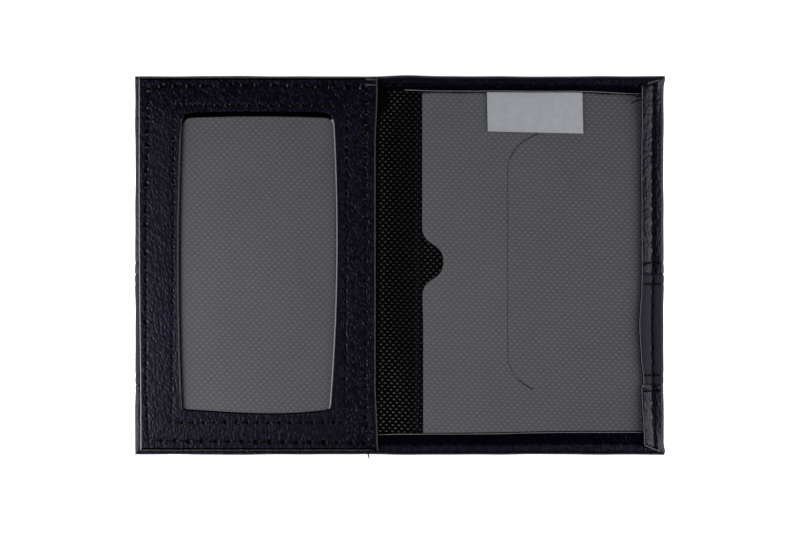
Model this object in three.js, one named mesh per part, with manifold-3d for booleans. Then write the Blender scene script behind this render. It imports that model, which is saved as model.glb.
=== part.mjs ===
// Vehicle document holder lying open, inside up. Millimetres, +Z up, origin under the middle of the cover.
// The front half is on -X and folds over the back half on +X along two creases beside the spine.
import * as THREE from 'three';
import Module from 'manifold-3d';
import { mergeVertices } from 'three/addons/utils/BufferGeometryUtils.js';

const wasm = await Module();
wasm.setup();

// Cover, lying open
const openWidth = 189;
const coverHeight = 135;
const edgeRoll = 1.6;
const cornerRadius = 0.5;

// Sheets
const leather = 0.9;
const boardThickness = 0.6;
const liningThickness = 0.4;
const pocketGap = 0.6;
const filmThickness = 0.25;
const labelThickness = 0.2;
const sheetClearance = 0.3;

// Hems: how far the cover is turned in over the inside
const frontHem = 7;
const backHem = 7.9;
const upperHem = 4.9;
const lowerHem = 7;

// Fold
const spineWidth = 8;
const creaseGap = 0.3;
const boardSetback = 3.5;

// Smooth band across the cover and the seams beside it
const bandHeight = 39.5;
const bandToLowerEdge = 24.7;
const seamGap = 0.3;
const upperRowOutside = 4.1;
const upperRowInside = 3.4;
const lowerRowInside = 3.5;
const lowerRowOutside = 2.2;

// Window frame on the front half
const frameSideInset = 1.3;
const frameUpperInset = 0.6;
const frameLowerInset = 1.1;
const frameBevel = 0.15;
const mouthSetback = 4.1;
const mouthHem = 6.5;
const mouthHemThickness = 0.7;
const sideBorder = 14.3;
const mouthBorder = 14.3;
const upperBorder = 13.2;
const lowerBorder = 13;
const windowSideBow = 1.2;
const windowUpperBow = 0.5;
const windowLowerBow = 1.3;
const windowCorner = 2.6;

// Clear pocket on the back half
const pocketSetback = 3.7;
const notchWidth = 25;
const notchDepth = 7.7;
const notchCentre = 1.2;
const slitOffset = 30.9;
const slitStraight = 65.3;
const slitCentre = 0.35;
const slitHookRun = 10;
const slitHookRise = 12.7;
const slitWidth = 0.3;

// Label under the upper hem
const labelOffset = 23.2;
const labelWidth = 34.7;
const labelDrop = 14.9;
const labelTuck = 3.2;
const labelHingeGap = 0.8;
const labelRelief = 0.25;

// Sewing
const threadWidth = 0.5;
const threadHeight = 0.3;
const needleWidth = 0.22;
const needleHeight = 0.1;
const channelWidth = 0.9;
const channelDepth = 0.4;
const threadSink = 0.06;
const edgePitch = 4.9;
const windowPitch = 3.95;
const mouthPitch = 3.75;
const frontStitchInset = 3.8;
const backStitchInset = 4.1;
const upperStitchInset = 3.3;
const lowerStitchInset = 3.5;
const windowStitchMargin = 3.2;
const mouthStitchInset = 4.1;
const tackLength = 4;
const tackWidth = 1.4;
const tackHeight = 0.35;

// Levels of the sheets, from the table up
const boardLow = leather;
const liningLow = boardLow + boardThickness;
const pocketLow = liningLow + liningThickness;
const filmLow = pocketLow + pocketGap;
const hemLow = filmLow + filmThickness;
const hemHigh = hemLow + leather;
const frameHigh = hemHigh + leather;
const foldHeight = leather + liningThickness;

// Lines seen from above
const halfWidth = openWidth / 2;
const halfHeight = coverHeight / 2;
const crease = spineWidth / 2;
const bandLow = bandToLowerEdge - halfHeight;
const bandHigh = bandLow + bandHeight;
const frontHemEdge = frontHem - halfWidth;
const backHemEdge = halfWidth - backHem;
const upperHemEdge = halfHeight - upperHem;
const lowerHemEdge = lowerHem - halfHeight;
const frameLeft = frameSideInset - halfWidth;
const frameRight = -crease - mouthSetback;
const frameUpper = halfHeight - frameUpperInset;
const frameLower = frameLowerInset - halfHeight;
const windowLeft = frameLeft + sideBorder;
const windowRight = frameRight - mouthBorder;
const windowUpper = frameUpper - upperBorder;
const windowLower = frameLower + lowerBorder;
const pocketLeft = crease + pocketSetback;
const labelLeft = pocketLeft + labelOffset;
const labelHingeLine = upperHemEdge - labelHingeGap;
const upperStitch = halfHeight - upperStitchInset;
const lowerStitch = lowerStitchInset - halfHeight;
const frontStitch = frontStitchInset - halfWidth;
const backStitch = halfWidth - backStitchInset;
const cavityWall = leather;
const sheetEdge = cavityWall + sheetClearance;
const beyond = 20;

const materials = {
  grained: new THREE.MeshStandardMaterial({ color: 0x1b1a22, roughness: 0.6 }),
  smooth: new THREE.MeshStandardMaterial({ color: 0x26252c, roughness: 0.42 }),
  woven: new THREE.MeshStandardMaterial({ color: 0x101012, roughness: 0.85 }),
  board: new THREE.MeshStandardMaterial({ color: 0x8a7d68, roughness: 0.9 }),
  film: new THREE.MeshStandardMaterial({ color: 0xb4b5bb, roughness: 0.2, transparent: true, opacity: 0.4 }),
  label: new THREE.MeshStandardMaterial({ color: 0xa3a9ae, roughness: 0.5 }),
  thread: new THREE.MeshStandardMaterial({ color: 0x2b2a33, roughness: 0.7 }),
};

// Turns a three.js geometry into a closed solid for cutting and joining.
function solidOf(geometry) {
  const bare = geometry.index ? geometry.toNonIndexed() : geometry.clone();
  bare.deleteAttribute('normal');
  bare.deleteAttribute('uv');
  const merged = mergeVertices(bare, 1e-5);
  const mesh = new wasm.Mesh({
    numProp: 3,
    vertProperties: new Float32Array(merged.attributes.position.array),
    triVerts: new Uint32Array(merged.index.array),
  });
  return new wasm.Manifold(mesh);
}

function geometryOf(solid) {
  const mesh = solid.getMesh();
  const geometry = new THREE.BufferGeometry();
  geometry.setAttribute('position', new THREE.BufferAttribute(new Float32Array(mesh.vertProperties), 3));
  geometry.setIndex(new THREE.BufferAttribute(new Uint32Array(mesh.triVerts), 1));
  const flat = geometry.toNonIndexed();
  flat.computeVertexNormals();
  return flat;
}

function plate(x0, x1, y0, y1, z0, z1) {
  const geometry = new THREE.BoxGeometry(x1 - x0, y1 - y0, z1 - z0);
  return geometry.translate((x0 + x1) / 2, (y0 + y1) / 2, (z0 + z1) / 2);
}

// A profile of [x, z] points drawn out along Y.
function alongY(points, y0, y1) {
  const shape = new THREE.Shape(points.map(([x, z]) => new THREE.Vector2(x, z)));
  const geometry = new THREE.ExtrudeGeometry(shape, { depth: y1 - y0, bevelEnabled: false });
  return geometry.rotateX(Math.PI / 2).translate(0, y1, 0);
}

function sheetFrom(shape, z, thickness, segments = 10) {
  const options = { depth: thickness, bevelEnabled: false, curveSegments: segments };
  return new THREE.ExtrudeGeometry(shape, options).translate(0, 0, z);
}

// The outside of the cover with its rolled edge, drawn in by an inset all round.
function coverBlock(inset) {
  const roll = edgeRoll - inset;
  const x = halfWidth - edgeRoll;
  const y = halfHeight - edgeRoll;
  const shape = new THREE.Shape();
  shape.moveTo(-x + cornerRadius, -y);
  shape.lineTo(x - cornerRadius, -y);
  shape.absarc(x - cornerRadius, -y + cornerRadius, cornerRadius, -Math.PI / 2, 0);
  shape.lineTo(x, y - cornerRadius);
  shape.absarc(x - cornerRadius, y - cornerRadius, cornerRadius, 0, Math.PI / 2);
  shape.lineTo(-x + cornerRadius, y);
  shape.absarc(-x + cornerRadius, y - cornerRadius, cornerRadius, Math.PI / 2, Math.PI);
  shape.lineTo(-x, -y + cornerRadius);
  shape.absarc(-x + cornerRadius, -y + cornerRadius, cornerRadius, Math.PI, Math.PI * 1.5);
  const options = {
    depth: hemHigh - 2 * edgeRoll,
    bevelEnabled: true,
    bevelThickness: roll,
    bevelSize: roll,
    bevelSegments: 4,
    curveSegments: 3,
  };
  return solidOf(new THREE.ExtrudeGeometry(shape, options).translate(0, 0, edgeRoll));
}

function rowSlab(y, width) {
  return solidOf(plate(-halfWidth - beyond, halfWidth + beyond, y - width / 2, y + width / 2, -beyond, beyond));
}

// Everything on one side of a crease. Above the fold line it slopes, so that the hems clear each other.
function besideCrease(side, shift, slope) {
  const x = crease + shift;
  const rise = hemHigh - foldHeight + 1;
  const profile = [
    [x, -beyond],
    [halfWidth + beyond, -beyond],
    [halfWidth + beyond, foldHeight + rise],
    [x + slope * rise, foldHeight + rise],
    [x, foldHeight],
  ];
  const geometry = alongY(profile, -halfHeight - beyond, halfHeight + beyond);
  return solidOf(side > 0 ? geometry : geometry.rotateZ(Math.PI));
}

const rows = {
  upper_outer: bandHigh + upperRowOutside,
  upper_inner: bandHigh - upperRowInside,
  lower_inner: bandLow + lowerRowInside,
  lower_outer: bandLow - lowerRowOutside,
};

// The whole cover: rolled block, hollowed under the hems and open inside them, with a channel for each row.
function wholeCover() {
  const x = halfWidth - cavityWall;
  const y = halfHeight - cavityWall;
  let cover = coverBlock(0);
  cover = cover.subtract(solidOf(plate(-x, x, -y, y, leather, hemLow)));
  cover = cover.subtract(
    solidOf(plate(frontHemEdge, backHemEdge, lowerHemEdge, upperHemEdge, (leather + hemLow) / 2, hemHigh + beyond)),
  );
  const tuckHigh = upperHemEdge + labelTuck + sheetClearance;
  const tuckRight = labelLeft + labelWidth + sheetClearance;
  const relief = plate(labelLeft - sheetClearance, tuckRight, 0, tuckHigh, filmLow, hemLow + labelRelief);
  cover = cover.subtract(solidOf(relief));
  const rind = coverBlock(0).subtract(coverBlock(channelDepth));
  for (const y of Object.values(rows)) {
    cover = cover.subtract(rind.intersect(rowSlab(y, channelWidth)));
  }
  return cover;
}

// Three bodies across, three strips up: each piece of the cover is one cell of that grid.
const cells = {
  front: (solid) => solid.intersect(besideCrease(-1, creaseGap / 2, 1)),
  back: (solid) => solid.intersect(besideCrease(1, creaseGap / 2, 1)),
  spine: (solid) => solid
    .subtract(besideCrease(1, -creaseGap / 2, -1))
    .subtract(besideCrease(-1, -creaseGap / 2, -1)),
};

const strips = {
  upper: [bandHigh + seamGap / 2, halfHeight + beyond],
  band: [bandLow + seamGap / 2, bandHigh - seamGap / 2],
  lower: [-halfHeight - beyond, bandLow - seamGap / 2],
};

function strip(y0, y1) {
  return solidOf(plate(-halfWidth - beyond, halfWidth + beyond, y0, y1, -beyond, beyond));
}

// Thread of one row beside the band: under the cover, round its rolled ends and over the turned-in hems.
function rowThread(y) {
  const skin = coverBlock(threadSink).subtract(coverBlock(threadSink + threadHeight));
  const open = plate(
    frontHemEdge - sheetClearance, backHemEdge + sheetClearance, -halfHeight, halfHeight, hemLow, hemHigh + beyond,
  );
  return skin.intersect(rowSlab(y, threadWidth)).subtract(solidOf(open));
}

// Lining of the front or back half: on the board, then down to the cover beside the crease.
function halfLining(side) {
  const near = crease + creaseGap / 2;
  const ramp = crease + 0.25 * boardSetback;
  const far = halfWidth - sheetEdge;
  const profile = [
    [near, leather],
    [ramp, leather],
    [crease + boardSetback, liningLow],
    [far, liningLow],
    [far, liningLow + liningThickness],
    [crease + boardSetback, liningLow + liningThickness],
    [ramp, leather + liningThickness],
    [near, leather + liningThickness],
  ];
  const geometry = alongY(profile, -halfHeight + sheetEdge, halfHeight - sheetEdge);
  return side > 0 ? geometry : geometry.rotateZ(Math.PI);
}

function halfBoard(side) {
  const near = side * (crease + boardSetback);
  const far = side * (halfWidth - sheetEdge);
  const y = halfHeight - sheetEdge;
  return plate(Math.min(near, far), Math.max(near, far), -y, y, boardLow, liningLow);
}

// The window: four sides that bow outward, with rounded corners.
function windowOutline(path) {
  const left = windowLeft + windowSideBow;
  const right = windowRight - windowSideBow;
  const upper = windowUpper - windowUpperBow;
  const lower = windowLower + windowLowerBow;
  const middleX = (left + right) / 2;
  const middleY = (lower + upper) / 2;
  const corner = windowCorner;
  path.moveTo(left + corner, lower);
  path.quadraticCurveTo(middleX, lower - 2 * windowLowerBow, right - corner, lower);
  path.quadraticCurveTo(right, lower, right, lower + corner);
  path.quadraticCurveTo(right + 2 * windowSideBow, middleY, right, upper - corner);
  path.quadraticCurveTo(right, upper, right - corner, upper);
  path.quadraticCurveTo(middleX, upper + 2 * windowUpperBow, left + corner, upper);
  path.quadraticCurveTo(left, upper, left, upper - corner);
  path.quadraticCurveTo(left - 2 * windowSideBow, middleY, left, lower + corner);
  path.quadraticCurveTo(left, lower, left + corner, lower);
  return path;
}

// Window frame: one sheet with the window cut out and its spine side turned under.
function windowFrame() {
  const bevel = frameBevel;
  const shape = new THREE.Shape();
  shape.moveTo(frameLeft + bevel, frameLower + bevel);
  shape.lineTo(frameRight - bevel, frameLower + bevel);
  shape.lineTo(frameRight - bevel, frameUpper - bevel);
  shape.lineTo(frameLeft + bevel, frameUpper - bevel);
  shape.closePath();
  const options = {
    depth: leather - 2 * bevel,
    bevelEnabled: true,
    bevelThickness: bevel,
    bevelSize: bevel,
    bevelSegments: 1,
  };
  const sheet = solidOf(new THREE.ExtrudeGeometry(shape, options).translate(0, 0, hemHigh + bevel));
  const hole = solidOf(sheetFrom(windowOutline(new THREE.Shape()), hemHigh - 1, leather + 2, 12));
  const turned = plate(
    frameRight - mouthHem,
    frameRight - bevel,
    lowerHemEdge + sheetClearance,
    upperHemEdge - sheetClearance,
    hemHigh - mouthHemThickness,
    hemHigh + leather / 2,
  );
  return geometryOf(sheet.subtract(hole).add(solidOf(turned)));
}

function windowFilm() {
  return plate(
    frontHemEdge + sheetClearance,
    frameRight - mouthHem - sheetClearance,
    lowerHemEdge + sheetClearance,
    upperHemEdge - sheetClearance,
    hemHigh - filmThickness,
    hemHigh,
  );
}

// A narrow closed band that follows a line of points, for the card slit.
function slitShape() {
  const x = pocketLeft + slitOffset;
  const upper = slitCentre + slitStraight / 2;
  const lower = slitCentre - slitStraight / 2;
  const line = new THREE.CurvePath();
  const at = (px, py) => new THREE.Vector2(px, py);
  const upperEnd = at(x + slitHookRun, upper + slitHookRise);
  const lowerEnd = at(x + slitHookRun, lower - slitHookRise);
  line.add(new THREE.QuadraticBezierCurve(upperEnd, at(x, upper + 0.7 * slitHookRise), at(x, upper)));
  line.add(new THREE.LineCurve(at(x, upper), at(x, lower)));
  line.add(new THREE.QuadraticBezierCurve(at(x, lower), at(x, lower - 0.7 * slitHookRise), lowerEnd));
  const points = line.getPoints(8);
  const side = (sign) => points.map((point, i) => {
    const before = points[Math.max(i - 1, 0)];
    const after = points[Math.min(i + 1, points.length - 1)];
    const along = after.clone().sub(before).normalize();
    return at(point.x - sign * along.y * slitWidth / 2, point.y + sign * along.x * slitWidth / 2);
  });
  return new THREE.Shape([...side(1), ...side(-1).reverse()]);
}

// Clear pocket: one film with a thumb notch in its free edge and a slit for a card.
function clearPocket() {
  const right = halfWidth - sheetEdge;
  const y = halfHeight - sheetEdge;
  const deep = pocketLeft + notchDepth;
  const high = notchCentre + notchWidth / 2;
  const low = notchCentre - notchWidth / 2;
  const reach = 0.3 * notchWidth;
  const shape = new THREE.Shape();
  shape.moveTo(pocketLeft, -y);
  shape.lineTo(right, -y);
  shape.lineTo(right, y);
  shape.lineTo(pocketLeft, y);
  shape.lineTo(pocketLeft, high);
  shape.bezierCurveTo(pocketLeft, high - reach, deep, notchCentre + reach, deep, notchCentre);
  shape.bezierCurveTo(deep, notchCentre - reach, pocketLeft, low + reach, pocketLeft, low);
  shape.closePath();
  const film = solidOf(sheetFrom(shape, filmLow, filmThickness, 8));
  return geometryOf(film.subtract(solidOf(sheetFrom(slitShape(), filmLow - 1, filmThickness + 2))));
}

// One sewn seam: a thread that lies on the sheet and is drawn down at every needle hole.
function seam(corners, z, pitch, closed = false) {
  const ends = closed ? [...corners, corners[0]] : corners;
  const rings = [];
  const ring = (x, y, along, width, height) => rings.push({ x, y, along, width, height });
  for (let i = 0; i + 1 < ends.length; i += 1) {
    const from = new THREE.Vector2(...ends[i]);
    const leg = new THREE.Vector2(...ends[i + 1]).sub(from);
    const along = leg.clone().normalize();
    const count = Math.max(1, Math.round(leg.length() / pitch));
    const step = leg.clone().divideScalar(count);
    for (let k = 0; k < count; k += 1) {
      const start = from.clone().addScaledVector(step, k);
      const near = start.clone().addScaledVector(step, 0.2);
      const far = start.clone().addScaledVector(step, 0.8);
      const turning = k === 0 && rings.length > 0;
      const tangent = turning ? along.clone().add(rings[rings.length - 1].along).normalize() : along;
      ring(start.x, start.y, tangent, needleWidth, needleHeight);
      ring(near.x, near.y, along, threadWidth, threadHeight);
      ring(far.x, far.y, along, threadWidth, threadHeight);
    }
  }
  const last = ends[ends.length - 1];
  if (closed) {
    rings[0].along = rings[0].along.clone().add(rings[rings.length - 1].along).normalize();
  } else {
    ring(last[0], last[1], rings[rings.length - 1].along, needleWidth, needleHeight);
  }
  const positions = [];
  for (const { x, y, along, width, height } of rings) {
    const acrossX = -along.y * width / 2;
    const acrossY = along.x * width / 2;
    positions.push(x - acrossX, y - acrossY, z, x + acrossX, y + acrossY, z);
    positions.push(x + acrossX / 2, y + acrossY / 2, z + height, x - acrossX / 2, y - acrossY / 2, z + height);
  }
  const faces = [];
  const spans = closed ? rings.length : rings.length - 1;
  for (let i = 0; i < spans; i += 1) {
    const a = 4 * i;
    const b = 4 * ((i + 1) % rings.length);
    for (let j = 0; j < 4; j += 1) {
      const k = (j + 1) % 4;
      faces.push(a + j, a + k, b + k, a + j, b + k, b + j);
    }
  }
  if (!closed) {
    const e = 4 * (rings.length - 1);
    faces.push(0, 2, 1, 0, 3, 2, e, e + 1, e + 2, e, e + 2, e + 3);
  }
  const geometry = new THREE.BufferGeometry();
  geometry.setAttribute('position', new THREE.Float32BufferAttribute(positions, 3));
  geometry.setIndex(faces);
  const flat = geometry.toNonIndexed();
  flat.computeVertexNormals();
  return flat;
}

const group = new THREE.Group();
group.name = 'vehicle_document_holder';
const halves = {};
for (const body of ['front', 'spine', 'back', 'label']) {
  halves[body] = new THREE.Group();
  halves[body].name = `${body}_group`;
  group.add(halves[body]);
}

function piece(body, name, geometry, material) {
  const mesh = new THREE.Mesh(geometry, material);
  mesh.name = name;
  halves[body].add(mesh);
}

// Cover, in strips and bodies
const cover = wholeCover();
for (const [stripName, [y0, y1]] of Object.entries(strips)) {
  const sheet = cover.intersect(strip(y0, y1));
  for (const body of Object.keys(cells)) {
    const material = stripName === 'band' ? materials.smooth : materials.grained;
    piece(body, `${body}_cover_${stripName}`, geometryOf(cells[body](sheet)), material);
  }
}

// Rows of thread beside the band, on the outside of the cover and round its ends
for (const [rowName, y] of Object.entries(rows)) {
  const thread = rowThread(y);
  for (const body of Object.keys(cells)) {
    piece(body, `${body}_row_${rowName}`, geometryOf(cells[body](thread)), materials.thread);
  }
}

// Sheets inside the cover
piece('front', 'front_stiffener', halfBoard(-1), materials.board);
piece('back', 'back_stiffener', halfBoard(1), materials.board);
piece('front', 'front_lining', halfLining(-1), materials.woven);
piece('back', 'back_lining', halfLining(1), materials.woven);
const spineEdge = crease - creaseGap / 2;
const liningEnd = halfHeight - sheetEdge;
piece(
  'spine',
  'spine_lining',
  plate(-spineEdge, spineEdge, -liningEnd, liningEnd, leather, leather + liningThickness),
  materials.woven,
);

// Window pocket on the front half
piece('front', 'window_film', windowFilm(), materials.film);
piece('front', 'window_frame', windowFrame(), materials.grained);
const aroundWindow = [
  [windowLeft - windowStitchMargin, windowLower - windowStitchMargin],
  [windowRight + windowStitchMargin, windowLower - windowStitchMargin],
  [windowRight + windowStitchMargin, windowUpper + windowStitchMargin],
  [windowLeft - windowStitchMargin, windowUpper + windowStitchMargin],
];
piece('front', 'window_thread', seam(aroundWindow, frameHigh, windowPitch, true), materials.thread);
const mouthStitch = frameRight - mouthStitchInset;
const mouthLine = [
  [mouthStitch, upperStitch - tackLength / 2],
  [mouthStitch, lowerStitch + tackLength / 2],
];
piece('front', 'pocket_mouth_thread', seam(mouthLine, frameHigh, mouthPitch), materials.thread);
const tackLeft = frameRight - 0.6 - tackLength;
const frontEdge = [
  [tackLeft - 0.4, upperStitch],
  [frontStitch, upperStitch],
  [frontStitch, lowerStitch],
  [tackLeft - 0.4, lowerStitch],
];
piece('front', 'front_edge_thread', seam(frontEdge, frameHigh, edgePitch), materials.thread);
for (const [name, y] of [['upper', upperStitch], ['lower', lowerStitch]]) {
  const tack = plate(
    tackLeft, tackLeft + tackLength, y - tackWidth / 2, y + tackWidth / 2, frameHigh, frameHigh + tackHeight,
  );
  piece('front', `bar_tack_${name}`, tack, materials.thread);
}

// Clear pocket, label and edge seam on the back half
piece('back', 'clear_pocket', clearPocket(), materials.film);
const hemSlope = hemHigh - foldHeight;
const backStart = crease + creaseGap / 2 + hemSlope + 0.4;
const backEdge = [
  [backStart, lowerStitch],
  [backStitch, lowerStitch],
  [backStitch, upperStitch],
  [backStart, upperStitch],
];
piece('back', 'back_edge_thread', seam(backEdge, hemHigh, edgePitch), materials.thread);
const spineStart = crease - creaseGap / 2 - hemSlope - 0.2;
for (const [name, y] of [['upper', upperStitch], ['lower', lowerStitch]]) {
  const line = [[-spineStart, y], [spineStart, y]];
  piece('spine', `spine_edge_thread_${name}`, seam(line, hemHigh, edgePitch), materials.thread);
}
const labelRight = labelLeft + labelWidth;
const labelHigh = hemLow + labelThickness;
const tailLow = labelHingeLine + 0.1;
piece(
  'back',
  'label_tail',
  plate(labelLeft, labelRight, tailLow, upperHemEdge + labelTuck, hemLow, labelHigh),
  materials.label,
);
piece(
  'label',
  'label',
  plate(labelLeft, labelRight, upperHemEdge - labelDrop, labelHingeLine - 0.1, hemLow, labelHigh),
  materials.label,
);

export default group;
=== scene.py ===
# Vehicle document holder lying open: leatherette cover, woven lining, clear pockets and all their sewing.
import math

import bpy
import numpy as np
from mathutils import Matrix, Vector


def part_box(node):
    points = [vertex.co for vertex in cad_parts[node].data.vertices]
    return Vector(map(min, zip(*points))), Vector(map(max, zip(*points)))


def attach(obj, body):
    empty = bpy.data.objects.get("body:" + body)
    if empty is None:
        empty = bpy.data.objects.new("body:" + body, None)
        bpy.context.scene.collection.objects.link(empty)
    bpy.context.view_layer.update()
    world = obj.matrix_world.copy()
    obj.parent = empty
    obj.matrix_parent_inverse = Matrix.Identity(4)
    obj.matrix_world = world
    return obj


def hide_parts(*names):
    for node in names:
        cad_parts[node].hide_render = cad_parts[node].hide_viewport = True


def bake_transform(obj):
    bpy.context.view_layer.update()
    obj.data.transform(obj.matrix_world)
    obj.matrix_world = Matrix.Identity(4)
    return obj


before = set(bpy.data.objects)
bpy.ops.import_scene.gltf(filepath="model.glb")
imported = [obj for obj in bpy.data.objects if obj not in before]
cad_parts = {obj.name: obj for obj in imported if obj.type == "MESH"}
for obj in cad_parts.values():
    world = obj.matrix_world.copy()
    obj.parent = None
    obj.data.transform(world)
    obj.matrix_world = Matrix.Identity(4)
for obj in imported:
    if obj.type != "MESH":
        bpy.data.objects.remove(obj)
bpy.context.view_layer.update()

mm = 0.001
farAway = 99.0
sideOf = {"front": -1, "back": 1}


# Small tools that every piece uses. Places are in millimetres.
def nodeBox(name):
    low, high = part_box(name)
    return np.array(low) / mm, np.array(high) / mm


def deselectAll():
    bpy.ops.object.select_all(action="DESELECT")


def activate(piece):
    deselectAll()
    piece.select_set(True)
    bpy.context.view_layer.objects.active = piece


def openEdit(piece):
    activate(piece)
    bpy.ops.object.mode_set(mode="EDIT")
    bpy.ops.mesh.select_all(action="SELECT")


def closeEdit():
    bpy.ops.object.mode_set(mode="OBJECT")


def readAll(items, key, width, kind=np.float32):
    flat = np.empty(len(items) * width, kind)
    items.foreach_get(key, flat)
    return flat.reshape(-1, width)


def placesOf(piece):
    return readAll(piece.data.vertices, "co", 3).astype(float) / mm


def putPlaces(piece, places):
    piece.data.vertices.foreach_set("co", (places * mm).astype(np.float32).ravel())
    piece.data.update()


def outwardOf(piece):
    return readAll(piece.data.vertices, "normal", 3).astype(float)


def faceMiddles(piece):
    return readAll(piece.data.polygons, "center", 3).astype(float) / mm


def finishOf(piece):
    return readAll(piece.data.polygons, "material_index", 1, np.int32)[:, 0]


def putFinish(piece, finish):
    piece.data.polygons.foreach_set("material_index", finish.astype(np.int32))


# Opens the piece with only those edges picked whose two ends are both on the line
def pickEdges(piece, onLine):
    for kind in (piece.data.vertices, piece.data.edges, piece.data.polygons):
        kind.foreach_set("select", np.zeros(len(kind), bool))
    ends = readAll(piece.data.edges, "vertices", 2, np.int32)
    wanted = onLine[ends].all(axis=1)
    touched = np.zeros(len(piece.data.vertices), bool)
    touched[ends[wanted]] = True
    piece.data.edges.foreach_set("select", wanted)
    piece.data.vertices.foreach_set("select", touched)
    activate(piece)
    bpy.ops.object.mode_set(mode="EDIT")


def extrude(x, y, z):
    bpy.ops.mesh.extrude_region_move(TRANSFORM_OT_translate={"value": (x * mm, y * mm, z * mm)})


def modify(piece, kind, **settings):
    activate(piece)
    change = piece.modifiers.new(kind.title(), kind)
    for key, value in settings.items():
        setattr(change, key, value)
    bpy.ops.object.modifier_apply(modifier=change.name)


def gridAt(name, xs, ys, z):
    deselectAll()
    bpy.ops.mesh.primitive_grid_add(x_subdivisions=len(xs) - 1, y_subdivisions=len(ys) - 1, size=2)
    piece = bpy.context.object
    piece.name = name
    share = (placesOf(piece)[:, :2] * mm + 1) / 2
    column, row = np.rint(share * (len(xs) - 1, len(ys) - 1)).astype(int).T
    putPlaces(piece, np.column_stack([xs[column], ys[row], np.full(len(column), float(z))]))
    return piece


# Grid lines, closer together beside each fine place
def lines(low, high, step, fine=(), reach=1.2, fineStep=0.35):
    apart, least = 0.1, 0.12
    marks = np.linspace(low, high, int(round((high - low) / step)) + 1)
    for place in fine:
        close = np.linspace(place - reach, place + reach, int(round(2 * reach / fineStep)) + 1)
        marks = np.concatenate([marks[np.abs(marks - place) > reach + apart], close])
    marks = np.unique(np.clip(marks, low, high))
    return marks[np.concatenate([[True], np.diff(marks) > least])]


def unit(t):
    return np.clip(t, 0, 1)


def ease(t):
    t = unit(t)
    return t * t * (3 - 2 * t)


def hill(offset, width):
    return np.exp(-((offset / width) ** 2))


def sway(t, amount, length, seed):
    turn = 2 * np.pi * t / length
    small = 0.6 * np.sin(2.3 * turn + 2.1 * seed)
    smaller = 0.4 * np.sin(4.1 * turn + 3.7 * seed)
    return amount * (np.sin(turn + seed) + small + smaller) / 2


def smoothByAngle(piece, degrees=50):
    activate(piece)
    bpy.ops.object.shade_smooth_by_angle(angle=math.radians(degrees))


def keepAmount(piece, name, amount):
    kept = piece.data.attributes.new(name, "FLOAT", "POINT")
    kept.data.foreach_set("value", np.broadcast_to(amount, len(piece.data.vertices)).astype(np.float32))


def amountOf(piece, name):
    return readAll(piece.data.attributes[name].data, "value", 1)[:, 0]


def dress(piece, slot, *materials):
    for material in materials:
        piece.data.materials.append(material)
    rest = piece.data.attributes.new("restPlace", "FLOAT_VECTOR", "POINT")
    rest.data.foreach_set("vector", (placesOf(piece) * mm).astype(np.float32).ravel())
    return piece


# Camera, light and floor
cameraSet = {"lens": 100, "sensor": 36, "nearest": 10, "place": (0.15, -0.5, 797)}
lightSet = {
    "lamps": {
        "left": {"place": (-260, -80, 145), "size": 150, "watts": 1.08},
        "right": {"place": (250, -25, 140), "size": 150, "watts": 0.47},
        "lowLeft": {"place": (-420, -10, 52), "size": 100, "wide": 320, "watts": 0.6},
        "lowRight": {"place": (420, -10, 85), "size": 170, "wide": 320, "watts": 0.9},
        "far": {"place": (0, 330, 120), "size": 200, "watts": 0.18},
    },
    "aim": (0, -15, 0),
    "sky": 0.02,
    "skyTint": (0.95, 0.96, 1),
    "floor": (0.86, 0.86, 0.87),
    "floorShine": (0.9, 0.1),
    "floorSize": 6,
    "floorAt": -0.0002,
    "floorGlow": 0.95,
}


def makeCamera():
    bpy.ops.object.camera_add(location=tuple(np.array(cameraSet["place"]) * mm))
    camera = bpy.context.object
    camera.data.lens = cameraSet["lens"]
    camera.data.sensor_width = cameraSet["sensor"]
    camera.data.clip_start = cameraSet["nearest"] * mm
    bpy.context.scene.camera = camera


def makeLights():
    for light in lightSet["lamps"].values():
        x, y, z = np.array(light["place"], float) - lightSet["aim"]
        turn = (0, math.atan2(math.hypot(x, y), z), math.atan2(y, x))
        bpy.ops.object.light_add(type="AREA", location=tuple(np.array(light["place"]) * mm), rotation=turn)
        bpy.context.object.visible_camera = False
        lamp = bpy.context.object.data
        lamp.shape = "RECTANGLE"
        lamp.size = light["size"] * mm
        lamp.size_y = light.get("wide", light["size"]) * mm
        lamp.energy = light["watts"]
    world = bpy.data.worlds.new("dimRoom")
    world.use_nodes = True
    sky = world.node_tree.nodes["Background"]
    feed(sky, "Color", lightSet["skyTint"])
    feed(sky, "Strength", lightSet["sky"])
    bpy.context.scene.world = world
    bpy.context.scene.view_settings.view_transform = "Standard"


# Finishes. Each node goes into the tree of the shader or socket that it is made for
def newFinish(name, roughness, specular=0.5):
    material = bpy.data.materials.new(name)
    material.use_nodes = True
    skin = material.node_tree.nodes["Principled BSDF"]
    feed(skin, "Roughness", roughness)
    feed(skin, "Specular IOR Level", specular)
    return material, skin


def feed(made, key, value):
    socket = made.inputs[key]
    if isinstance(value, bpy.types.NodeSocket):
        made.id_data.links.new(value, socket)
    else:
        socket.default_value = (*value, 1) if socket.type == "RGBA" else value


def node(owner, kind, inputs, **settings):
    made = owner.id_data.nodes.new("ShaderNode" + kind)
    for key, value in settings.items():
        setattr(made, key, value)
    for key, value in inputs.items():
        feed(made, key, value)
    return made


def keptIn(skin, name, output="Fac"):
    return node(skin, "Attribute", {}, attribute_name=name, attribute_type="GEOMETRY").outputs[output]


def restPlace(skin, stretch=1, turn=0.0):
    place = keptIn(skin, "restPlace", "Vector")
    turned = node(skin, "Mapping", {"Rotation": (0, 0, turn), "Vector": place}).outputs["Vector"]
    scale = (1 / mm, stretch / mm, 1 / mm)
    return node(skin, "Mapping", {"Scale": scale, "Vector": turned}).outputs["Vector"]


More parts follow.
